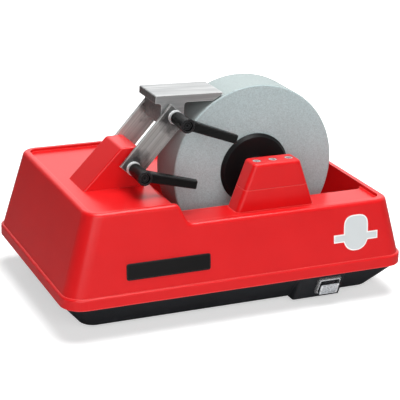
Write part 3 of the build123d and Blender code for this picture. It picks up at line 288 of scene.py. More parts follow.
axle = middle_of("front_flange")
print("axle at", [round(v / MM, 1) for v in axle], "mm")

# %% [markdown]
# One helper makes every moulded or coated finish: a colour that clouds into a second one, a paler
# colour for the painted highlight along edges and for dust, and a roughness that rises where hands have
# wiped. The grain of the mould bumps the surface, or fine rings do, where a piece was turned about an
# axis.

# %% Moulding helper
def moulding(
    name, colour, cloudy, pale, roughness, depth, grain, edges, dust, specular,
    edge_width=0.0012, turned_about=None,
):
    """Plastic or coated material with grain, clouding, a painted highlight on edges, and dust."""
    made, tree, shader, place = start_material(name)
    skin = use_group(tree, moulded_skin, Vector=place, Grain=grain)
    edge = use_group(tree, edge_highlight_and_wear, Radius=edge_width)["Edge"]
    settled = use_group(tree, settled_dust, Vector=place)["Dust"]
    feed(tree, blend_colour(tree, skin["Cloud"], colour, cloudy), shader.inputs["Base Color"])
    blend_over(tree, shader, calc(tree, "MULTIPLY", edge, edges), pale)
    blend_over(tree, shader, calc(tree, "MULTIPLY", settled, dust), pale)
    smooth, rough = roughness
    feed(tree, span(tree, skin["Wipe"], 0.0, 1.0, smooth, rough), shader.inputs["Roughness"])
    shader.inputs["Specular IOR Level"].default_value = specular
    height = skin["Grain"]
    if turned_about is not None:
        height = use_group(tree, turned_lines, Vector=place, Centre=turned_about)["Rings"]
    raise_surface(tree, shader, height, depth)
    return made


print("moulding helper ready")

# %% [markdown]
# The housing is a satin red plastic, almost smooth, whose rounded edges carry a pale painted highlight
# where the light runs along them. The tool rest's bracket and the cap of the bearing post are the same
# plastic with crisper corners, and their edges get only a little of that painted highlight.

# %% Red mouldings
def red_moulding(name, edges):
    """Satin red plastic with more or less of a painted highlight on its edges."""
    return moulding(
        name, (0.74, 0.010, 0.012, 1), (0.69, 0.008, 0.010, 1), (0.98, 0.16, 0.15, 1),
        roughness=(0.28, 0.31), depth=0.000006, grain=2600.0, edges=edges, dust=0.015, specular=0.37,
    )


red_housing = red_moulding("satin_red_moulding", edges=0.6)
red_bracket = red_moulding("satin_red_bracket", edges=0.10)
dress(red_housing, "upper_housing", "rear_tower_cap")
dress(red_bracket, "rest_bracket", "front_bearing_cap")

# %% [markdown]
# The dark pieces differ in their surface more than in their colour. The tray has a coarse grain that
# hides knocks, the flanges were turned and keep fine rings around the axle, the levers have a
# textured coat, and rubber is dull and gathers dust. The pulleys are of the tray's plastic.

# %% Black mouldings and rubber
dark_tray = moulding(
    "grained_dark_tray", (0.016, 0.017, 0.020, 1), (0.022, 0.024, 0.028, 1), (0.10, 0.10, 0.11, 1),
    roughness=(0.55, 0.62), depth=0.00005, grain=1900.0, edges=0.35, dust=0.10, specular=0.30,
)
black_flange = moulding(
    "black_flange_moulding", (0.005, 0.0055, 0.006, 1), (0.008, 0.0085, 0.009, 1), (0.09, 0.09, 0.095, 1),
    roughness=(0.35, 0.40), depth=0.00006, grain=2200.0, edges=0.10, dust=0.02, specular=0.20,
    turned_about=axle,
)
# The levers' pale edges are a painted highlight.
lever_coat = moulding(
    "textured_lever_coat", (0.004, 0.004, 0.004, 1), (0.006, 0.006, 0.006, 1), (0.10, 0.10, 0.105, 1),
    roughness=(0.27, 0.32), depth=0.00004, grain=1300.0, edges=0.5, dust=0.02, specular=0.15,
)
black_rubber = moulding(
    "black_rubber", (0.016, 0.016, 0.016, 1), (0.022, 0.022, 0.021, 1), (0.07, 0.07, 0.068, 1),
    roughness=(0.775, 0.85), depth=0.00006, grain=1200.0, edges=0.4, dust=0.25, specular=0.25,
)
dress(dark_tray, "base_tray", "driven_pulley", "motor_pulley")
dress(black_flange, "front_flange", "rear_flange")
dress(lever_coat, "lower_lever_handle", "upper_lever_handle", "lower_lever_screw", "upper_lever_screw")
dress(
    black_rubber, "foot_front_left", "foot_front_right", "foot_rear_left", "foot_rear_right",
    "front_seal", "rear_seal", "drive_belt", "cable_bush",
)

# %% [markdown]
# The switch has a satin bezel, whose narrow edges carry a white painted highlight where they shine
# under the studio light, and a glossy rocker. The capacitor and the terminal block inside the tray are of
# a pale electrical plastic.

# %% Switch and electrical plastics
switch_black = moulding(
    "switch_bezel_black", (0.012, 0.012, 0.013, 1), (0.016, 0.016, 0.017, 1), (0.80, 0.81, 0.82, 1),
    roughness=(0.30, 0.36), depth=0.00001, grain=2600.0, edges=0.95, dust=0.05, specular=0.4,
    edge_width=0.0005,
)
switch_gloss = moulding(
    "switch_rocker_black", (0.016, 0.016, 0.018, 1), (0.020, 0.020, 0.022, 1), (0.20, 0.20, 0.21, 1),
    roughness=(0.15, 0.20), depth=0.00001, grain=2600.0, edges=0.6, dust=0.04, specular=0.6,
)
pale_plastic = moulding(
    "pale_electrical_plastic", (0.72, 0.72, 0.69, 1), (0.66, 0.66, 0.62, 1), (0.82, 0.82, 0.80, 1),
    roughness=(0.475, 0.55), depth=0.00003, grain=2000.0, edges=0.3, dust=0.05, specular=0.4,
)
dress(switch_black, "switch_body")
dress(switch_gloss, "switch_rocker")
dress(pale_plastic, "run_capacitor", "terminal_block")

# %% [markdown]
# The stone is taken to be aluminium oxide in a soft bond, as most wet stones are: an even blue grey that
# turns out to be full of pale and dark grains when it is looked at closely. A Voronoi pattern with small
# cells gives each grain its own tone, a slow noise shades the face, and a finer noise pits it. The rim,
# which tools rub on, is greyer, so the distance from the axle brings that in over the last millimetre.

# %% Stone
dark_grain, pale_grain = (0.385, 0.475, 0.485, 1), (0.485, 0.595, 0.605, 1)
stray_grain, stray_share = (0.25, 0.285, 0.29, 1), 0.4
slow_shade, slow_share = (0.35, 0.40, 0.405, 1), 0.15
rubbed_rim, rim_share = (0.41, 0.445, 0.435, 1), 0.6
rim_starts, rim_ends, pit_depth = 0.8 * MM, 0.2 * MM, 0.06 * MM
stone_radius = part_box("grinding_wheel")[1].z - axle.z
stone_grey, tree, shader, place = start_material("grey_grit_stone")
grains = add_node(tree, "ShaderNodeTexVoronoi", Vector=place, Scale=1300.0)
tone = add_node(tree, "ShaderNodeSeparateXYZ", Vector=grains.outputs["Color"])
slow = add_node(tree, "ShaderNodeTexNoise", Vector=place, Scale=30.0, Detail=5.0)
pits = add_node(tree, "ShaderNodeTexNoise", Vector=place, Scale=700.0, Detail=3.0)
reach = use_group(tree, turned_lines, Vector=place, Centre=axle)["Reach"]
feed(tree, blend_colour(tree, tone.outputs["X"], dark_grain, pale_grain), shader.inputs["Base Color"])
blend_over(tree, shader, span(tree, tone.outputs["Y"], 0.92, 0.96, 0.0, stray_share), stray_grain)
blend_over(tree, shader, span(tree, slow.outputs["Fac"], 0.35, 0.7, 0.0, slow_share), slow_shade)
worn = span(tree, reach, stone_radius - rim_starts, stone_radius - rim_ends, 0.0, rim_share)
blend_over(tree, shader, worn, rubbed_rim)
feed(tree, span(tree, tone.outputs["Z"], 0.0, 1.0, 0.80, 0.95), shader.inputs["Roughness"])
shader.inputs["Specular IOR Level"].default_value = 0.25
raise_surface(tree, shader, pits.outputs["Fac"], pit_depth)
dress(stone_grey, "grinding_wheel")
print("stone radius", round(stone_radius / MM, 2), "mm")

# %% [markdown]
# Bare metal isn't equally bright all round. Its undersides are darkened as painted shade, and its ends,
# which are sawn and duller than drawn faces, are darkened as well, partly as painted shade. Both could be
# separate materials, but the direction of the surface tells them apart well enough: how far it faces
# down, and how far it faces along the machine.

# %% Group: painted shade below, and sawn ends
tree, inside, outside = new_group("shade_below_and_sawn_ends", [], ["Below", "Ends"])
surface = tree.nodes.new("ShaderNodeNewGeometry")
axes = add_node(tree, "ShaderNodeSeparateXYZ", Vector=surface.outputs["Normal"])
along_machine = calc(tree, "ABSOLUTE", axes.outputs["X"])
feed(tree, span(tree, axes.outputs["Z"], -0.25, -0.55), outside.inputs["Below"])
feed(tree, span(tree, along_machine, 0.80, 0.95), outside.inputs["Ends"])
shade_below_and_sawn_ends = tree
print("group:", shade_below_and_sawn_ends.name)

# %% [markdown]
# The arms are darker around their clamping bolts; on the rear arm, next to the table, that darkening is
# painted shade. The group takes the distance from the bolt's axis, which the turned lines already
# measure, and a noise makes the border of the darkening uneven.

# %% Group: darkening around an axis
darkening_inside, darkening_outside, darkening_waver, darkening_share = 7.0 * MM, 19.0 * MM, 5.0 * MM, 0.9
tree, inside, outside = new_group("axis_darkening", [("Vector", VECTOR), ("Centre", VECTOR)], ["Stain"])
place, centre = inside.outputs["Vector"], inside.outputs["Centre"]
reach = use_group(tree, turned_lines, Vector=place, Centre=centre)["Reach"]
border_noise = add_node(tree, "ShaderNodeTexNoise", Vector=place, Scale=120.0, Detail=4.0)
waver = span(tree, border_noise.outputs["Fac"], 0.3, 0.7, -darkening_waver, darkening_waver)
reach = calc(tree, "ADD", reach, waver)
feed(tree, span(tree, reach, darkening_outside, darkening_inside, 0.0, darkening_share), outside.inputs["Stain"])
axis_darkening = tree
print("group:", axis_darkening.name)

# %% [markdown]
# One helper makes every metal. Its coordinates are turned and then divided by how long the streaks are
# in each direction, so the same group gives long lines on a bar and short ones on a screw. Edges get
# another tone, a painted highlight, and are less metallic, so that this tone shows from every side.

# %% Metal helper
bright_scratch, scratch_share = (0.85, 0.86, 0.87, 1), 0.35
# Painted shade on undersides, and a darker tone for sawn ends that is partly painted shade.
painted_shade_below, shade_below_share = (0.05, 0.048, 0.047, 1), 0.8
sawn_end_and_shade, darkened_tone = (0.10, 0.10, 0.097, 1), (0.045, 0.046, 0.048, 1)
# The pale edge tone is a painted highlight.
painted_edge_highlight, edge_tone_share, edge_tone_width = (0.9, 0.905, 0.91, 1), 0.7, 0.0008
metallic_face, metallic_edge = 0.70, 0.35


def drawn_metal(
    name, colour, dull, lines_per_metre, roughness, depth,
    turn=(0.0, 0.0, 0.0), sawn_and_shade=0.0, darkened_about=(), edge_tone=painted_edge_highlight,
):
    """Metal with lines along one direction, a painted highlight on its edges, and darkening around given
    axes.
    """
    made, tree, shader, place = start_material(name)
    streaks = [1.0 / lines for lines in lines_per_metre]
    along = add_node(
        tree, "ShaderNodeMapping", {"vector_type": "TEXTURE"}, Vector=place, Rotation=turn, Scale=streaks
    )
    drawn = use_group(tree, drawn_lines, Vector=along.outputs[0])
    edge = use_group(tree, edge_highlight_and_wear, Radius=edge_tone_width)["Edge"]
    sides = use_group(tree, shade_below_and_sawn_ends)
    feed(tree, blend_colour(tree, drawn["Lines"], colour, dull), shader.inputs["Base Color"])
    blend_over(tree, shader, calc(tree, "MULTIPLY", drawn["Scratch"], scratch_share), bright_scratch)
    blend_over(tree, shader, calc(tree, "MULTIPLY", sides["Below"], shade_below_share), painted_shade_below)
    blend_over(tree, shader, calc(tree, "MULTIPLY", sides["Ends"], sawn_and_shade), sawn_end_and_shade)
    # Darkening around the bolts; on the rear arm it is painted shade.
    for centre in darkened_about:
        darkening = use_group(tree, axis_darkening, Vector=place, Centre=centre)["Stain"]
        blend_over(tree, shader, darkening, darkened_tone)
    blend_over(tree, shader, calc(tree, "MULTIPLY", edge, edge_tone_share), edge_tone)
    smooth, rough = roughness
    feed(tree, span(tree, drawn["Lines"], 0.0, 1.0, smooth, rough), shader.inputs["Roughness"])
    feed(tree, span(tree, edge, 0.0, 1.0, metallic_face, metallic_edge), shader.inputs["Metallic"])
    raise_surface(tree, shader, drawn["Lines"], depth)
    return made


print("metal helper ready")

# %% [markdown]
# The tool rest is aluminium. Its two arms are drawn flat bar, and the lines run along them, so the
# pattern is turned by the slope of the arms, which the places of the two bolts give. The rear arm has a
# paler copy of the arms' tone, which is painted light, and is dark only towards its upper bolt, where the
# darkening is painted shade next to the table. The table is a T-shaped profile, brushed along the machine,
# with sawn ends that are partly darkened as painted shade.

# %% Tool rest
lower_bolt, upper_bolt = middle_of("lower_washer"), middle_of("upper_washer")
bolt_to_bolt = upper_bolt - lower_bolt
arm_slope = atan2(bolt_to_bolt.z, bolt_to_bolt.x)
print("the arms slope up at", round(degrees(arm_slope), 1), "degrees")


def flat_bar(name, colour, dull, darkened_about):
    """Drawn flat bar with its lines along the arms."""
    return drawn_metal(
        name, colour, dull, (9.0, 650.0, 650.0),
        roughness=(0.26, 0.42), depth=0.000015, turn=(0.0, -arm_slope, 0.0), darkened_about=darkened_about,
    )


front_bar = flat_bar(
    "drawn_arm_bar", (0.67, 0.67, 0.65, 1), (0.43, 0.43, 0.415, 1), [lower_bolt, upper_bolt]
)
lit_rear_bar = flat_bar("drawn_rear_bar_painted_light", (0.95, 0.95, 0.92, 1), (0.66, 0.66, 0.64, 1), [upper_bolt])
rest_profile = drawn_metal(
    "extruded_rest_profile", (0.56, 0.57, 0.57, 1), (0.37, 0.38, 0.385, 1), (14.0, 420.0, 420.0),
    roughness=(0.32, 0.48), depth=0.000012, sawn_and_shade=0.6,
)
dress(front_bar, "front_arm")
dress(lit_rear_bar, "rear_arm")
dress(rest_profile, "rest_table")

# %% [markdown]
# Screws, bearings, the axle and the motor share one zinc-plated steel, the washers and the levers'
# inserts are bright nickel, and the windings are varnished copper. They are small or hidden, so short
# streaks are enough. The cap screws sit sunk in the red caps, and their dark edges are painted shade of
# the recesses.

# %% Steel, nickel and copper
sunk_edge_shade = (0.02, 0.016, 0.016, 1)
zinc_steel = drawn_metal(
    "zinc_plated_steel", (0.66, 0.67, 0.68, 1), (0.54, 0.55, 0.56, 1), (260.0, 260.0, 260.0),
    roughness=(0.26, 0.42), depth=0.000008,
)
bright_nickel = drawn_metal(
    "bright_nickel_plate", (0.86, 0.88, 0.88, 1), (0.74, 0.76, 0.77, 1), (300.0, 300.0, 300.0),
    roughness=(0.34, 0.50), depth=0.000006,
)
sunk_screw = drawn_metal(
    "sunk_screw_plate", (0.80, 0.81, 0.81, 1), (0.62, 0.63, 0.64, 1), (300.0, 300.0, 300.0),
    roughness=(0.30, 0.46), depth=0.000006, edge_tone=sunk_edge_shade,
)
copper_wire = drawn_metal(
    "varnished_copper_wire", (0.55, 0.24, 0.10, 1), (0.38, 0.15, 0.06, 1), (1500.0, 60.0, 1500.0),
    roughness=(0.30, 0.45), depth=0.00005,
)
dress(
    zinc_steel, "housing_screws", "foot_screws", "front_bearing",
    "rear_bearing", "motor_body", "motor_end_cover", "motor_stator", "motor_bearings", "motor_mount",
    "motor_screws", "capacitor_clip", "bracket_screws", "pivot_sleeve", "wheel_axle", "axle_nut",
    "motor_rotor", "lower_clamp_bolt", "upper_clamp_bolt", "lower_lever_spring", "upper_lever_spring",
)
dress(
    bright_nickel, "lower_washer", "upper_washer", "lower_spacer",
    "upper_spacer", "lower_lever_insert", "upper_lever_insert",
)
dress(sunk_screw, "front_cap_screws", "rear_cap_screws")
dress(copper_wire, "motor_windings")

# %% [markdown]
# Three thin pieces sit on the front of the machine: a plate, a label and the splash cover of the
# switch. They are modelled as by hand. A block is added at its size, its edges and faces are picked by
# where they lie and which way they point, and edit-mode operators shape it. These helpers do the
# picking and the rounding, so that each piece reads as the steps that a modeller takes. What lies
# within a tenth of a millimetre of an outer face counts as part of it.

# %% Modelling helpers
near = 0.1


def start_block(name, size):
    """Block of a size in millimetres at the origin, in edit mode."""
    bpy.ops.object.select_all(action="DESELECT")
    bpy.ops.mesh.primitive_cube_add(size=MM)
    block = bpy.context.object
    block.name = name
    block.scale = size
    bpy.ops.object.transform_apply(location=False, rotation=False, scale=True)
    bpy.ops.object.mode_set(mode="EDIT")
    return block


def pick(block, kind, test):
    """Select only the edges or faces that pass a test on their middle, in millimetres, and direction."""
    bpy.ops.mesh.select_mode(type=kind)
    bpy.ops.mesh.select_all(action="DESELECT")
    mesh = bmesh.from_edit_mesh(block.data)
    items = mesh.edges if kind == "EDGE" else mesh.faces
    for item in items:
        corners = [corner.co for corner in item.verts]
        middle = sum(corners, Vector()) / len(corners) / MM
        aim = (corners[1] - corners[0]).normalized() if kind == "EDGE" else item.normal
        if test(middle, aim):
            item.select_set(True)
    bmesh.update_edit_mesh(block.data)


def draw_out(x, y, z):
    """Extrude the picked faces by millimetres."""
    bpy.ops.mesh.extrude_region_move(TRANSFORM_OT_translate={"value": (x * MM, y * MM, z * MM)})


def round_edges(block, radius, test, segments, fullness=0.5):
    """Bevel the edges that pass a test to a radius in millimetres; a fuller profile stays squarer."""
    pick(block, "EDGE", test)
    bpy.ops.mesh.bevel(offset=radius * MM, segments=segments, affect="EDGES", profile=fullness)


def through_edge(middle, aim):
    """True for an edge that runs through the thickness of a thin piece."""
    return abs(aim.y) > 0.9


def front_face(middle, aim):
    """True for a face that points straight to the front."""
    return aim.y < -0.99


def coat_picked(block, material):
    """Give the picked faces a further material."""
    block.data.materials.append(material)
    block.active_material_index = len(block.data.materials) - 1
    bpy.ops.object.material_slot_assign()


def coat_all(block, material):
    """Give the whole piece its first material."""
    bpy.ops.mesh.select_all(action="SELECT")
    coat_picked(block, material)


print("modelling helpers ready")

# %% [markdown]
# The housing's front wall leans back, so what is stuck on it has to lean too. A ray from the front finds
# the wall at two heights, which gives its lean. Each finished piece is turned by a lean and moved to
# its place, and both are applied, so that the piece sits at the origin with its place in its mesh.

# %% Front wall
ray_start = -300.0
wall_x, wall_low, wall_high = -70.0, 45.0, 80.0
smooth_below = radians(40.0)


def wall_at(x, z):
    """Point of the housing's front wall, found by a ray from the front, in millimetres."""
    found = nodes["upper_housing"].ray_cast(Vector((x, ray_start, z)) * MM, Vector((0.0, 1.0, 0.0)))
    return found[1] / MM


def out_from(lean):
    """Direction that a leaning face points to, towards the front."""
    return Vector((0.0, -cos(lean), -sin(lean)))


def settle(block, place, lean):
    """Leave edit mode, put the piece in its place on the housing and keep that in its mesh."""
    bpy.ops.object.mode_set(mode="OBJECT")
    bpy.ops.object.shade_smooth_by_angle(angle=smooth_below)
    block.rotation_euler = (lean, 0.0, 0.0)
    block.location = Vector(place) * MM
    bpy.ops.object.transform_apply(location=True, rotation=True, scale=True)
    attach(block, "housing")
    columns = list(zip(*(corner.co / MM for corner in block.data.vertices)))
    print(block.name, "spans", [(round(min(c), 1), round(max(c), 1)) for c in columns], "mm")


wall_rise = wall_at(wall_x, wall_high) - wall_at(wall_x, wall_low)
wall_lean = -atan2(wall_rise.y, wall_rise.z)
print("front wall leans back by", round(-degrees(wall_lean), 2), "degrees")

# %% [markdown]
# The plate is a bare black plate stuck to the front wall. A block of its size gets rounded corners,
# then an inset leaves a narrow rim, and the field inside it is pushed back a little. The rim catches
# the light, which is what makes a thin plate look like a separate piece.

# %% Bare plate
plate_width, plate_height, plate_thickness, plate_corner = 73.8, 14.05, 0.7, 2.0
plate_edge, plate_rim, plate_sink, stuck = 0.15, 0.8, 0.15, 0.03
plate_x, plate_z = -67.6, 56.6
plate_satin = moulding(
    "plate_satin_black", (0.006, 0.0055, 0.006, 1), (0.009, 0.0085, 0.009, 1), (0.06, 0.06, 0.06, 1),
    roughness=(0.31, 0.36), depth=0.00001, grain=2400.0, edges=0.4, dust=0.02, specular=0.28,
)
plate = start_block("bare_plate", (plate_width, plate_thickness, plate_height))
round_edges(plate, plate_corner, through_edge, segments=5)
round_edges(plate, plate_edge, lambda middle, aim: middle.y < near - plate_thickness / 2, segments=2)
pick(plate, "FACE", front_face)
bpy.ops.mesh.inset(thickness=plate_rim * MM, depth=0.0)
draw_out(0.0, plate_sink, 0.0)
coat_all(plate, plate_satin)
plate_place = wall_at(plate_x, plate_z) + out_from(wall_lean) * (plate_thickness / 2 - stuck)
settle(plate, plate_place, wall_lean)

# %% [markdown]
# The label is a plain pale film: an arched body with a straight band across it and nothing printed on
# it. Two cuts with bisect mark the band on the block, the band is extruded from both sides, and the
# corners are bevelled to the arch. A region inset follows the whole outline, so the border keeps one
# width all round.

# %% Plain label
label_width, label_height, film, label_border = 23.4, 31.8, 0.25, 1.1
band_low, band_high, band_reach = -7.5, -0.3, 9.6
foot_share, foot_corner, head_corner, head_fullness = 0.66, 6.3, 10.8, 0.6
label_x, label_z = 106.1, 64.06
label_top = label_height / 2


def label_film(name, colour, cloudy, pale):
    """Satin film in one tone."""
    return moulding(
        name, colour, cloudy, pale,
        roughness=(0.385, 0.45), depth=0.000004, grain=2800.0, edges=0.2, dust=0.03, specular=0.35,
    )


label_white = label_film(
    "label_white_film", (0.93, 0.93, 0.92, 1), (0.90, 0.90, 0.89, 1), (0.96, 0.96, 0.95, 1)
)
label_field = label_film(
    "label_pale_field", (0.66, 0.70, 0.71, 1), (0.63, 0.67, 0.68, 1), (0.70, 0.73, 0.74, 1)
)
label = start_block("plain_label", (label_width, film, label_height))
for height in (band_low, band_high):
    bpy.ops.mesh.select_all(action="SELECT")
    bpy.ops.mesh.bisect(plane_co=(0.0, 0.0, height * MM), plane_no=(0.0, 0.0, 1.0))
for way in (-1.0, 1.0):
    pick(label, "FACE", lambda middle, aim: aim.x * way > 0.9 and band_low < middle.z < band_high)
    draw_out(way * band_reach, 0.0, 0.0)
pick(label, "FACE", lambda middle, aim: aim.z < -0.9 and middle.z < near - label_top)
bpy.ops.transform.resize(value=(foot_share, 1.0, 1.0))
round_edges(
    label, foot_corner, lambda middle, aim: through_edge(middle, aim) and middle.z < near - label_top,
    segments=8,
)
round_edges(
    label, head_corner, lambda middle, aim: through_edge(middle, aim) and middle.z > label_top - near,
    segments=10, fullness=head_fullness,
)
coat_all(label, label_white)
pick(label, "FACE", front_face)
bpy.ops.mesh.inset(thickness=label_border * MM, depth=0.0, use_boundary=True)
coat_picked(label, label_field)
label_place = wall_at(label_x, label_z) + out_from(wall_lean) * (film / 2 - stuck)
settle(label, label_place, wall_lean)

# %% [markdown]
# On a machine that works with water, the rocker switch has a soft clear cover. Its front, which the
# thumb pushes, is frosted, and its sides are clear. The dark rocker behind the soft front is given as
# painted shade: a fine noise mixes dark flecks into the frosted tone. The cover's edges carry a pale
# painted highlight.

# %% Cover silicone
shade_fleck_dark, shade_fleck_share = (0.07, 0.075, 0.08, 1), 0.7
frosted_alpha, clear_alpha = 0.92, 0.45
cover_frosted = moulding(
    "cover_frosted_silicone", (0.62, 0.66, 0.69, 1), (0.50, 0.54, 0.57, 1), (0.95, 0.96, 0.97, 1),
    roughness=(0.31, 0.38), depth=0.00002, grain=900.0, edges=0.9, dust=0.05, specular=0.5,
    edge_width=0.0007,
)
cover_clear = moulding(
    "cover_clear_silicone", (0.020, 0.022, 0.025, 1), (0.014, 0.015, 0.017, 1), (0.60, 0.62, 0.64, 1),
    roughness=(0.14, 0.18), depth=0.00001, grain=900.0, edges=0.4, dust=0.02, specular=0.4,
    edge_width=0.0004,
)
tree = cover_frosted.node_tree
place = tree.nodes["Texture Coordinate"].outputs["Object"]
rocker_shade_noise = add_node(tree, "ShaderNodeTexNoise", Vector=place, Scale=1000.0, Detail=2.0)
shade_flecks = span(tree, rocker_shade_noise.outputs["Fac"], 0.48, 0.66, 0.0, shade_fleck_share)
blend_over(tree, tree.nodes["Principled BSDF"], shade_flecks, shade_fleck_dark)
for silicone, alpha in ((cover_frosted, frosted_alpha), (cover_clear, clear_alpha)):
    silicone.node_tree.nodes["Principled BSDF"].inputs["Alpha"].default_value = alpha
    print(silicone.name, "lets through", round(1.0 - alpha, 2))

# %% [markdown]
# The cover is moulded in one piece: a thin flange lies on the bezel, and a wedge-shaped hood stands on
# it. The flange is the starting block. An inset and an extrusion raise the hood, moving its top edge
# back makes the slope, a second inset sinks the thumb's place, and Solidify gives the open shell its
# wall.

# %% Switch splash cover
switch_middle, switch_lean, bezel_thickness = Vector((82.0, -95.445, 18.92)), radians(24.2), 1.8
cover_width, cover_height, cover_corner, cover_wall, flange = 19.8, 15.4, 2.0, 0.4, 0.5
hood_step, hood_height, hood_slope, hood_drop, hood_edge = 0.65, 2.95, 3.45, 0.75, 0.5
hood_taper_x, hood_taper_z, hood_top, clear_up_to = 0.95, 0.97, 5.4, 1.95
thumb_rim, thumb_sink = 1.1, 0.12

cover = start_block("switch_splash_cover", (cover_width, flange, cover_height))
round_edges(cover, cover_corner, through_edge, segments=5)
pick(cover, "FACE", front_face)
bpy.ops.mesh.inset(thickness=hood_step * MM, depth=0.0)
draw_out(0.0, -hood_height, 0.0)
bpy.ops.transform.resize(value=(hood_taper_x, 1.0, hood_taper_z))
pick(cover, "EDGE", lambda middle, aim: middle.y < -hood_height and middle.z > hood_top)
bpy.ops.transform.translate(value=(0.0, hood_drop * MM, -hood_slope * MM))
round_edges(cover, hood_edge, lambda middle, aim: middle.y < hood_drop - hood_height, segments=3)
pick(cover, "FACE", lambda middle, aim: aim.y < -0.95 and middle.y < hood_drop - hood_height)
bpy.ops.mesh.inset(thickness=thumb_rim * MM, depth=0.0)
draw_out(0.0, thumb_sink, 0.0)
coat_all(cover, cover_frosted)
pick(cover, "FACE", lambda middle, aim: -clear_up_to < middle.y < -flange)
coat_picked(cover, cover_clear)
pick(cover, "FACE", lambda middle, aim: aim.y > 0.9)
bpy.ops.mesh.delete(type="FACE")
bpy.ops.object.mode_set(mode="OBJECT")
shell = cover.modifiers.new("cover_wall", "SOLIDIFY")
shell.thickness = cover_wall * MM
shell.offset = -1.0
bpy.ops.object.modifier_apply(modifier=shell.name)
cover_place = switch_middle + out_from(switch_lean) * (bezel_thickness + flange / 2)
settle(cover, cover_place, switch_lean)

# %% [markdown]
# Inside each clamping lever a small spring pulls the handle down onto its splines. When the handle is
# lifted to be turned free, the spring is pressed flat. The coil is made here as its own piece, in place
# of the spring solid: a round wire section, wound up by a Screw modifier, with its two ends filled.

# %% Lever springs
wire, coil_turns, pressed_share = 0.8 * MM, 3, 0.62
wire_sides, steps_per_turn, merge_gap = 10, 28, 0.01 * MM


def wind_spring(side):
    """Coil that takes the place and size of a lever's spring solid."""
    low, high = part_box(side + "_lever_spring")
    held_end = ((low.x + high.x) / 2, low.y, (low.z + high.z) / 2)
    coil_radius = (high.x - low.x - wire) / 2
    bpy.ops.object.select_all(action="DESELECT")
    bpy.ops.mesh.primitive_circle_add(
        vertices=wire_sides, radius=wire / 2, location=(coil_radius, wire / 2, 0.0)
    )
    coil = bpy.context.object
    coil.name = side + "_lever_coil"
    bpy.ops.object.transform_apply(location=True, rotation=True, scale=True)
    winding = coil.modifiers.new("winding", "SCREW")
    winding.axis = "Y"
    winding.angle = radians(360.0)
    winding.screw_offset = (high.y - low.y - wire) / coil_turns
    winding.iterations = coil_turns
    winding.steps = winding.render_steps = steps_per_turn
    bpy.ops.object.modifier_apply(modifier=winding.name)
    bpy.ops.object.mode_set(mode="EDIT")
    bpy.ops.mesh.select_all(action="SELECT")
    bpy.ops.mesh.remove_doubles(threshold=merge_gap)
    bpy.ops.mesh.fill_holes(sides=0)
    bpy.ops.mesh.normals_make_consistent(inside=False)
    bpy.ops.object.mode_set(mode="OBJECT")
    bpy.ops.object.shade_smooth_by_angle(angle=smooth_below)
    coil.location = held_end
    bpy.ops.object.transform_apply(location=True, rotation=True, scale=True)
    coil.data.materials.append(zinc_steel)
    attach(coil, side + "_lever")
    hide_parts(side + "_lever_spring")
    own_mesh(coil)
    print(coil.name, len(coil.data.polygons), "faces, radius", round(coil_radius / MM, 2), "mm")


for side in ("lower", "upper"):
    wind_spring(side)

# %% [markdown]
# The floor is a plain white sweep. Its material is an ordinary white diffuse surface, so the machine's
# shadow falls on it, and emission that only the camera sees lifts the lit part to white, more so
# further out. A white floor would also show in every low red wall, so it is dark in reflections.

# %% Floor
floor_size = 8.0
dim_in_reflections, reflected_floor = 0.91, (0.12, 0.12, 0.12, 1)
lift_starts, lift_ends, lift_near, lift_far = 0.25, 1.1, 0.52, 1.0
bpy.ops.object.select_all(action="DESELECT")
bpy.ops.mesh.primitive_plane_add(size=floor_size, location=(0.0, 0.0, 0.0))
floor = bpy.context.object
floor.name = "floor"
white_floor, tree, shader, place = start_material("white_floor")
paper = add_node(tree, "ShaderNodeTexNoise", Vector=place, Scale=60.0, Detail=3.0)
paper_white = blend_colour(tree, paper.outputs["Fac"], (0.82, 0.82, 0.82, 1), (0.84, 0.84, 0.84, 1))
feed(tree, paper_white, shader.inputs["Base Color"])
seen = tree.nodes.new("ShaderNodeLightPath")
in_reflections = calc(tree, "MULTIPLY", seen.outputs["Is Glossy Ray"], dim_in_reflections)
blend_over(tree, shader, in_reflections, reflected_floor)
shader.inputs["Roughness"].default_value = 0.9
shader.inputs["Specular IOR Level"].default_value = 0.1
away = add_node(tree, "ShaderNodeVectorMath", {"operation": "LENGTH"})
feed(tree, place, away.inputs[0])
lift = span(tree, away.outputs["Value"], lift_starts, lift_ends, lift_near, lift_far)
shader.inputs["Emission Color"].default_value = (1, 1, 1, 1)
feed(tree, calc(tree, "MULTIPLY", seen.outputs["Is Camera Ray"], lift), shader.inputs["Emission Strength"])
floor.data.materials.append(white_floor)
print("floor of", floor_size, "m")

# %% [markdown]
# The light in the photograph is soft, as from large boxes. Here one is overhead and brightens what
# faces up, a wide one at the front left lights the long front wall evenly, and a weak third one at the
# rear right gives the decks their pale sheen. Larger boxes make softer shadows, and need more power
# for the same brightness.

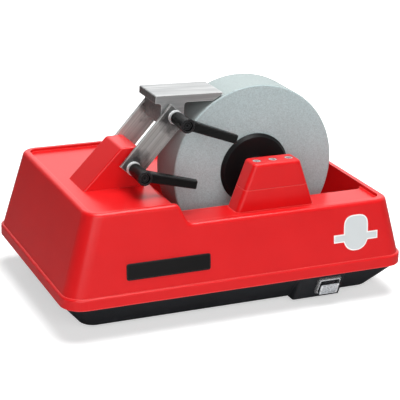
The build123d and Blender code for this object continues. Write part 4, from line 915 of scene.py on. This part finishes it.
# %% Soft boxes
def soft_box(name, place, target, width, height, power):
    """Rectangular lamp of a size in metres and a power in watts, facing a point."""
    bpy.ops.object.light_add(type="AREA", location=place)
    lamp = bpy.context.object
    lamp.name = name
    lamp.data.shape = "RECTANGLE"
    lamp.data.size = width
    lamp.data.size_y = height
    lamp.data.energy = power
    lamp.rotation_euler = (Vector(target) - Vector(place)).to_track_quat("-Z", "Y").to_euler()
    lamp.visible_camera = False
    print(name, "at", place, "with", power, "W")


soft_box("overhead_soft_box", (0.10, -0.05, 1.15), (0.0, 0.0, 0.05), width=0.9, height=0.7, power=15.5)
soft_box("front_soft_box", (-0.45, -1.5, 0.60), (0.0, 0.0, 0.08), width=1.8, height=1.1, power=15.4)
soft_box("rear_soft_box", (0.75, 1.60, 0.70), (0.0, 0.0, 0.08), width=1.9, height=0.8, power=2.0)

# %% [markdown]
# The surroundings do three jobs, which Light Path keeps apart. The camera sees plain white. As a light
# they are only a dim fill, so the left end of the machine stays in shade. In reflections they are
# bright behind and to the right and dark in front and to the left, which gives the mouldings and the
# bare metal their contrast.

# %% Surroundings
dim_fill = 0.07
front_ends, behind_starts, mirror_front, mirror_behind = -0.3, 0.6, 0.20, 0.98
left_ends, right_starts, mirror_left, mirror_right = -0.45, 0.1, 0.10, 1.0
world = bpy.data.worlds.new("white_surroundings")
bpy.context.scene.world = world
world.use_nodes = True
tree = world.node_tree
background = tree.nodes["Background"]
background.inputs["Color"].default_value = (1, 1, 1, 1)
seen = tree.nodes.new("ShaderNodeLightPath")
direction = tree.nodes.new("ShaderNodeTexCoord").outputs["Generated"]
heading = add_node(tree, "ShaderNodeSeparateXYZ", Vector=direction)
behind = span(tree, heading.outputs["Y"], front_ends, behind_starts, mirror_front, mirror_behind)
to_right = span(tree, heading.outputs["X"], left_ends, right_starts, mirror_left, mirror_right)
mirrored = calc(tree, "MULTIPLY", behind, to_right)
not_glossy = calc(tree, "SUBTRACT", 1.0, seen.outputs["Is Glossy Ray"])
shares = [
    seen.outputs["Is Camera Ray"],
    seen.outputs["Is Transmission Ray"],
    calc(tree, "MULTIPLY", seen.outputs["Is Glossy Ray"], mirrored),
    calc(tree, "MULTIPLY", not_glossy, dim_fill),
]
strength = shares[0]
for share in shares[1:]:
    strength = calc(tree, "MAXIMUM", strength, share)
feed(tree, strength, background.inputs["Strength"])
print("surroundings ready, fill", dim_fill)
